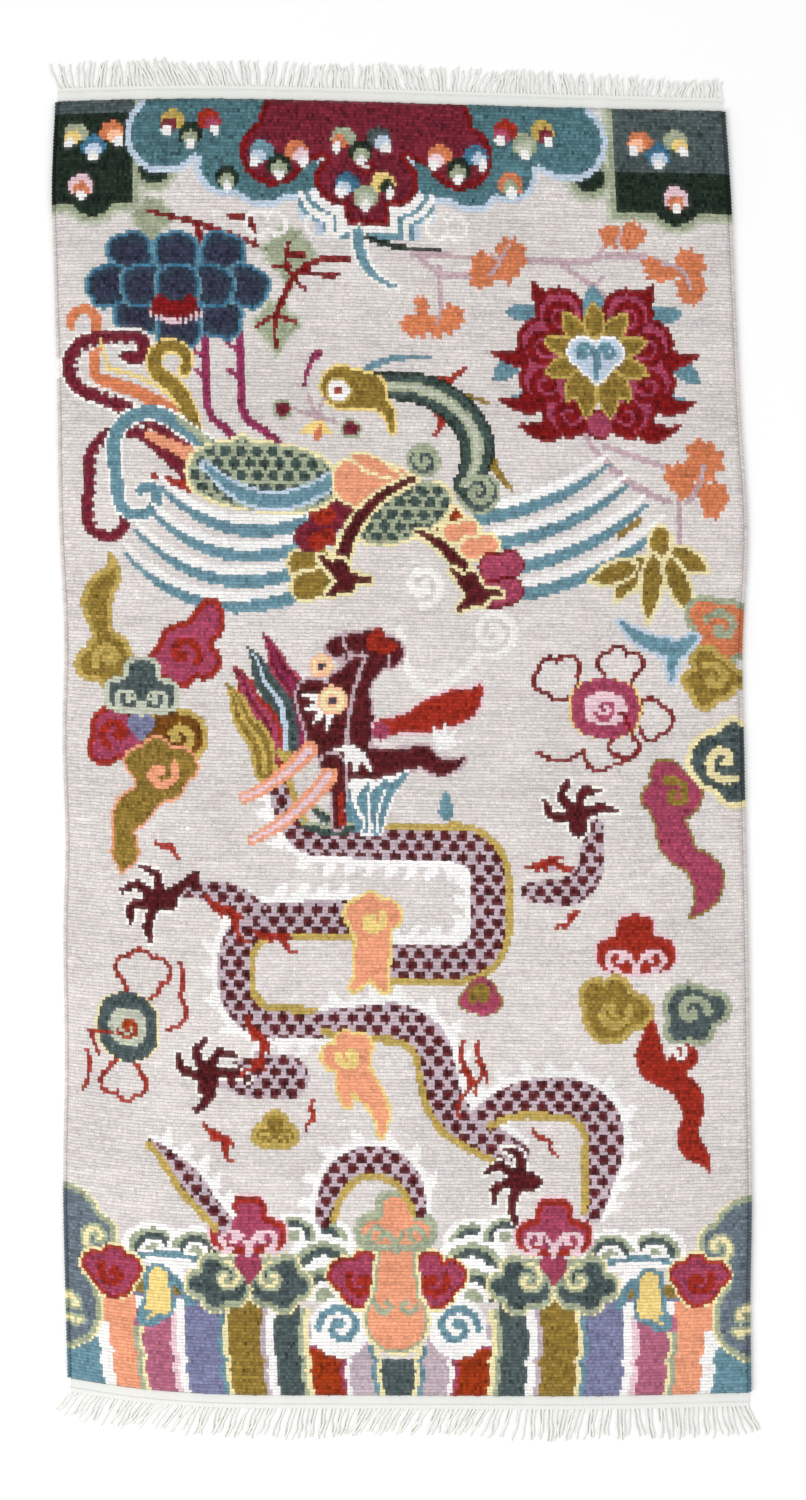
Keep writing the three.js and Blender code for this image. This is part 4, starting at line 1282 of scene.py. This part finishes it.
def pile_uvs(mesh, knots, rim_size, foot):
    """Knots counts columns and rows. OFBake spreads the top over most of its square."""
    column, row = np.meshgrid(np.arange(COLUMNS + 1), np.arange(ROWS + 1))
    counted = np.column_stack([column.ravel(), row.ravel()]).astype(float)[knots]
    around = np.arange(rim_size)[:, None, None] * (1, 0)
    wall = around + np.array([(0, 0), (1, 0), (1, WALL_KNOTS), (0, WALL_KNOTS)])
    under = foot[::-1, :2] / (CLOTH_WIDE / 100 / COLUMNS, CLOTH_LONG / 100 / ROWS)
    span = foot[:, :2].max(axis=0) - foot[:, :2].min(axis=0)
    flat = (foot[::-1, :2] - foot[:, :2].min(axis=0)) / span
    top_bake = counted * (1 / COLUMNS, -TOP_SHARE / ROWS) + (0, 1)
    wall_bake = wall * (1 / rim_size, WALL_STEP) + (0, WALL_START)
    for name, lay in (("Knots", (counted, wall, under)),
                      ("OFBake", (top_bake, wall_bake, flat * (1, BACK_SHARE)))):
        uv = mesh.uv_layers.new(name=name)
        uv.data.foreach_set("uv", np.vstack([part.reshape(-1, 2) for part in lay]).astype(np.float32).ravel())


def pile_mesh(dye, sizes):
    """The slab of pile: one face to each knot on top, a wall round it and a flat back."""
    top = pile_top(dye, sizes)
    at = np.arange((ROWS + 1) * (COLUMNS + 1)).reshape(ROWS + 1, COLUMNS + 1)
    knots = np.stack([at[1:, :-1], at[1:, 1:], at[:-1, 1:], at[:-1, :-1]], axis=-1).reshape(-1, 4)
    rim = np.concatenate([at[-1, :-1], at[::-1, -1][:-1], at[0, ::-1][:-1], at[:-1, 0]])
    foot = top[rim] * (1, 1, 0)
    low = len(top) + np.arange(len(rim))
    walls = np.column_stack([low, np.roll(low, -1), np.roll(rim, -1), rim])
    mesh = bpy.data.meshes.new("rug_pile")
    faces = [*knots.tolist(), *walls.tolist(), low[::-1].tolist()]
    mesh.from_pydata(np.vstack([top, foot]).tolist(), [], faces)
    colours = dyed(dye)
    wall_wool = np.concatenate([colours[-1], colours[::-1, -1], colours[0, ::-1], colours[:, 0]])
    back = linear(DYES["field"])[None]
    give(mesh, "dye", "FLOAT_COLOR", "FACE", opaque(np.vstack([colours.reshape(-1, 3), wall_wool, back])))
    pile_uvs(mesh, knots, len(rim), foot)
    material_index = np.zeros(len(faces), dtype=np.int32)
    material_index[-1] = 1
    mesh.polygons.foreach_set("material_index", material_index)
    mesh.polygons.foreach_set("use_smooth", np.arange(len(faces)) < len(knots))
    return mesh


# How light the side wool is against the pile's: for black wool, what white wool adds, and how uneven it is.
SIDE_DARK, SIDE_LIGHT, SIDE_UNEVEN = 0.74, 0.4, 0.06


def side_guide(side, dye, sizes):
    """One point for each loop of yarn along a side, with the loop's colour."""
    count = int(PILE_LENGTH / (sizes.stitch_pitch / MM))
    v = (np.arange(count) + 0.5) / count
    x, y = in_frame(0 if side < 0 else 1, v, inset=SIDE_WIDE / 2 + SIDE_OVERLAP / 2)
    points = np.column_stack([x, y, np.full(count, (SIDE_HIGH + SIDE_OVERLAP) / 2 * MM * 1.06)])
    mesh = bpy.data.meshes.new("side_guide")
    mesh.from_pydata(points.tolist(), [(i, i + 1) for i in range(count - 1)], [])
    rng = np.random.default_rng(SEED + 5 + side)
    wool = linear(np.array(list(DYES.values())))[dye[::-1, 0 if side < 0 else -1]]
    wool = wool[(v * ROWS).astype(int)]
    wool = wool * (SIDE_DARK + SIDE_LIGHT * wool.mean(axis=1, keepdims=True)
                   + rng.normal(0, SIDE_UNEVEN, (count, 1)))
    give(mesh, "dye", "FLOAT_COLOR", "POINT", opaque(wool))
    return mesh


# The profile of a web with its twined line: how far out, by its width, and how high, by its thickness.
WEB_STEPS = 180
WEB_OUT = (0, 0, 0.02, 0.25, 0.5, 0.62, 0.66, 0.70, 0.74, 0.9, 0.98, 1, 1)
WEB_HIGH = (0, 0.8, 1, 1, 1, 1, 1.6, 1.6, 1, 1, 0.96, 0.75, 0)
WEB_EDGE = WEB_INSET / RUG_WIDTH


def web_mesh(end):
    """The flat-woven strip of one end, with its twined line raised across it."""
    u = WEB_EDGE + np.arange(WEB_STEPS + 1) / WEB_STEPS * (1 - 2 * WEB_EDGE)
    rng = np.random.default_rng(SEED + 9)
    rings = []
    for out, high in zip(np.array(WEB_OUT) * WEB_WIDE + GAP, np.array(WEB_HIGH) * WEB_THICK):
        x, y = in_frame(u, 1 if end > 0 else 0, out=end * out)
        uneven = rng.normal(0, 0.06, WEB_STEPS + 1) * (high > 0)
        rings.append(np.column_stack([x, y, (high + uneven) * MM]))
    points = np.vstack(rings)
    at = np.arange(len(points)).reshape(len(WEB_OUT), WEB_STEPS + 1)
    if end < 0:
        at = at[:, ::-1]
    faces = np.stack([at[:-1, :-1], at[:-1, 1:], at[1:, 1:], at[1:, :-1]], axis=-1).reshape(-1, 4).tolist()
    faces += [np.append(at[0, ::-1], at[-1]).tolist(), at[:, 0].tolist(), at[::-1, -1].tolist()]
    mesh = bpy.data.meshes.new("web")
    mesh.from_pydata(points.tolist(), [], faces)
    return mesh


# A strand's slant drifts in waves and strays at random, in degrees. Its length is that share of the table's.
SLANT_DRIFT, SLANT_STRAY = 7, 3.5
STRAND_SHARE = (0.84, 1.05)


def fringe_guide(end, table, sizes):
    """One point for each strand at the outer edge of a web, with the strand's slant and length."""
    rng = np.random.default_rng(SEED + 20 + end)
    count = sizes.strands
    share = (np.arange(count) + 0.5 + rng.uniform(-0.3, 0.3, count)) / count
    u = WEB_EDGE + share * (1 - 2 * WEB_EDGE)
    x, y = in_frame(u, 1 if end > 0 else 0, out=end * (GAP + WEB_WIDE - 0.6))
    z = 0.4 * sizes.strand + rng.uniform(0, 0.35, count) * MM
    slant = np.radians(column(table, "slant", share) + SLANT_DRIFT * np.sin(np.arange(count) * 0.27 + end)
                       + rng.normal(0, SLANT_STRAY, count))
    length = column(table, "length", share) * MM * rng.uniform(*STRAND_SHARE, count)
    mesh = bpy.data.meshes.new("fringe_guide")
    mesh.from_pydata(np.column_stack([x, y, z]).tolist(), [], [])
    give(mesh, "slant", "FLOAT", "POINT", -slant if end > 0 else math.pi + slant)
    give(mesh, "length", "FLOAT", "POINT", length)
    give(mesh, "salt", "FLOAT", "POINT", rng.uniform(0, 1, count))
    return mesh


def kept(piece, slot_name, *nodes):
    """Rides a finished piece on the rug's body, in the place of its solids."""
    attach(piece, "root")
    if nodes:
        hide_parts(*nodes)
    return piece


class RugSizes(bpy.types.PropertyGroup):
    """The sizes that a user would change."""
    carving: FloatProperty(name="Carving", description="How deep the pile is clipped where two dyes meet",
                           default=0.0006, unit="LENGTH")
    unevenness: FloatProperty(name="Unevenness", description="How unevenly the pile is sheared",
                              default=0.00012, unit="LENGTH")
    stitch_pitch: FloatProperty(name="Stitch pitch", description="From one loop of a side's yarn to the next",
                                default=0.00447, unit="LENGTH")
    side_yarn: FloatProperty(name="Side yarn", description="Thickness of the yarn that binds the sides",
                             default=0.0031, unit="LENGTH")
    strands: IntProperty(name="Strands", description="Cotton strands of the fringe at each end",
                         default=150, min=10)
    strand: FloatProperty(name="Strand", description="Thickness of a twisted strand",
                          default=0.0037, unit="LENGTH")


class StageLook(bpy.types.PropertyGroup):
    """The floor, light and camera."""
    floor: FloatVectorProperty(name="Floor", description="Colour of the floor", subtype="COLOR",
                               default=(0.97, 0.97, 0.97), min=0, max=1)
    camera_height: FloatProperty(name="Camera height", description="From the floor up to the camera",
                                 default=4.5, unit="LENGTH")
    view_height: FloatProperty(name="View height", description="What the picture takes in from top to bottom",
                               default=1.995, unit="LENGTH")


class RUG_OT_pile(bpy.types.Operator):
    """Knots the pile in its pattern"""
    bl_idname = "rug.pile"
    bl_label = "Knot the pile"

    def execute(self, context):
        scene = context.scene
        mesh = pile_mesh(knot_rug(), scene.rug_sizes)
        pile = new_object("rug_pile", mesh, cloth_material("wool_pile", pile_look),
                          cloth_material("wool_back", back_look))
        kept(pile, "pile_wool", "pile")
        return {"FINISHED"}


class RUG_OT_sides(bpy.types.Operator):
    """Binds both long sides with yarn"""
    bl_idname = "rug.sides"
    bl_label = "Bind the sides"

    def execute(self, context):
        sizes = context.scene.rug_sizes
        dye = knot_rug()
        wool = cloth_material("side_wool", yarn_look)
        tree = ring_tree()
        for name, side, node in (("side_left", -1, "selvedge_left"), ("side_right", 1, "selvedge_right")):
            mesh = grown(side_guide(side, dye, sizes), tree, {
                "Cord Width": (SIDE_WIDE + SIDE_OVERLAP) * MM, "Cord Height": (SIDE_HIGH + SIDE_OVERLAP) * MM,
                "Yarn": sizes.side_yarn, "Slant": 0.22, "Seed": SEED, "Wool": wool})
            kept(new_object(name, mesh, wool), "selvedge_wool", node)
        return {"FINISHED"}


class RUG_OT_webs(bpy.types.Operator):
    """Weaves the cotton strip beyond each end of the pile"""
    bl_idname = "rug.webs"
    bl_label = "Weave the webs"

    def execute(self, context):
        cotton = cloth_material("web_cotton", web_look)
        for name, end in (("web_head", 1), ("web_foot", -1)):
            kept(new_object(name, web_mesh(end), cotton), "fringe_cotton")
        return {"FINISHED"}


class RUG_OT_fringes(bpy.types.Operator):
    """Lays the strands of both fringes"""
    bl_idname = "rug.fringes"
    bl_label = "Lay the fringes"

    def execute(self, context):
        sizes = context.scene.rug_sizes
        cotton = cloth_material("strand_cotton", cotton_look)
        tree = strand_tree()
        for name, end, table, node in (("strands_head", 1, HEAD_FRINGE, "fringe_head"),
                                       ("strands_foot", -1, FOOT_FRINGE, "fringe_foot")):
            mesh = grown(fringe_guide(end, table, sizes), tree, {
                "Thickness": sizes.strand, "Twist": 5.0, "Waviness": 0.010, "Lift": 0.001,
                "Seed": SEED, "Cotton": cotton})
            kept(new_object(name, mesh, cotton), "fringe_cotton", node)
        return {"FINISHED"}


# Lights over the rug: name, place, size in metres and power in watts. Then the strength of the light from
# all round, and half the floor's width.
LIGHTS = (("window_light", (-2.4, -1.6, 3.2), 2.6, 80.0), ("fill_light", (2.6, 2.0, 3.4), 3.2, 26.0))
SKY = 0.72
FLOOR_HALF = 6


def pale_floor(colour):
    """A matt floor under the rug, in one colour."""
    mesh = bpy.data.meshes.new("floor")
    corners = [(x * FLOOR_HALF, y * FLOOR_HALF, 0) for x, y in ((-1, -1), (1, -1), (1, 1), (-1, 1))]
    mesh.from_pydata(corners, [], [(0, 1, 2, 3)])
    paper = bpy.data.materials.new("pale_floor")
    paper.use_nodes = True
    shader = paper.node_tree.nodes["Principled BSDF"]
    shader.inputs["Base Color"].default_value = (*colour, 1)
    shader.inputs["Roughness"].default_value = 0.9
    return new_object("floor", mesh, paper)


def area_light(name, spot, size, power):
    """A soft light that looks at the middle of the rug."""
    lamp = bpy.data.lights.new(name, "AREA")
    lamp.energy, lamp.size = power, size
    made = bpy.data.objects.new(name, lamp)
    made.location = spot
    aim = -np.array(spot) / np.linalg.norm(spot)
    made.rotation_mode = "QUATERNION"
    made.rotation_quaternion = Vector(aim).to_track_quat("-Z", "Y")
    return made


def camera_above(height, view_height):
    """A camera straight above the rug, whose picture takes in that much from top to bottom."""
    camera = bpy.data.cameras.new("camera")
    camera.sensor_fit = "VERTICAL"
    camera.sensor_height = 36.0
    camera.lens = camera.sensor_height * height / view_height
    camera.clip_end = 50
    eye = bpy.data.objects.new("camera", camera)
    eye.location = (0, 0, height)
    return eye


class RUG_OT_stage(bpy.types.Operator):
    """Sets the floor, the lights and the camera over the rug"""
    bl_idname = "rug.stage"
    bl_label = "Set the stage"

    def execute(self, context):
        scene, look = context.scene, context.scene.rug_stage
        scene.view_settings.view_transform = "Standard"
        floor = pale_floor(look.floor)
        world = scene.world or bpy.data.worlds.new("studio")
        scene.world = world
        world.use_nodes = True
        sky = world.node_tree.nodes["Background"]
        sky.inputs["Color"].default_value = (1, 1, 1, 1)
        sky.inputs["Strength"].default_value = SKY
        for row in LIGHTS:
            scene.collection.objects.link(area_light(*row))
        eye = camera_above(look.camera_height, look.view_height)
        scene.collection.objects.link(eye)
        scene.camera = eye
        return {"FINISHED"}


OPERATORS = (RUG_OT_pile, RUG_OT_sides, RUG_OT_webs, RUG_OT_fringes, RUG_OT_stage)


class RUG_PT_panel(bpy.types.Panel):
    """Lists the rug's steps and sizes"""
    bl_idname = "RUG_PT_panel"
    bl_label = "Tibetan rug"
    bl_space_type = "VIEW_3D"
    bl_region_type = "UI"
    bl_category = "Rug"

    def draw(self, context):
        for group in (context.scene.rug_sizes, context.scene.rug_stage):
            for name in group.bl_rna.properties.keys():
                if name not in ("rna_type", "name"):
                    self.layout.prop(group, name)
        for operator in OPERATORS:
            self.layout.operator(operator.bl_idname)


CLASSES = (RugSizes, StageLook, *OPERATORS, RUG_PT_panel)


def register():
    for item in CLASSES:
        bpy.utils.register_class(item)
    bpy.types.Scene.rug_sizes = PointerProperty(type=RugSizes)
    bpy.types.Scene.rug_stage = PointerProperty(type=StageLook)


def unregister():
    del bpy.types.Scene.rug_sizes
    del bpy.types.Scene.rug_stage
    for item in reversed(CLASSES):
        bpy.utils.unregister_class(item)


def main():
    register()
    bpy.ops.rug.pile()
    bpy.ops.rug.sides()
    bpy.ops.rug.webs()
    bpy.ops.rug.fringes()
    bpy.ops.rug.stage()


if __name__ == "__main__":
    main()
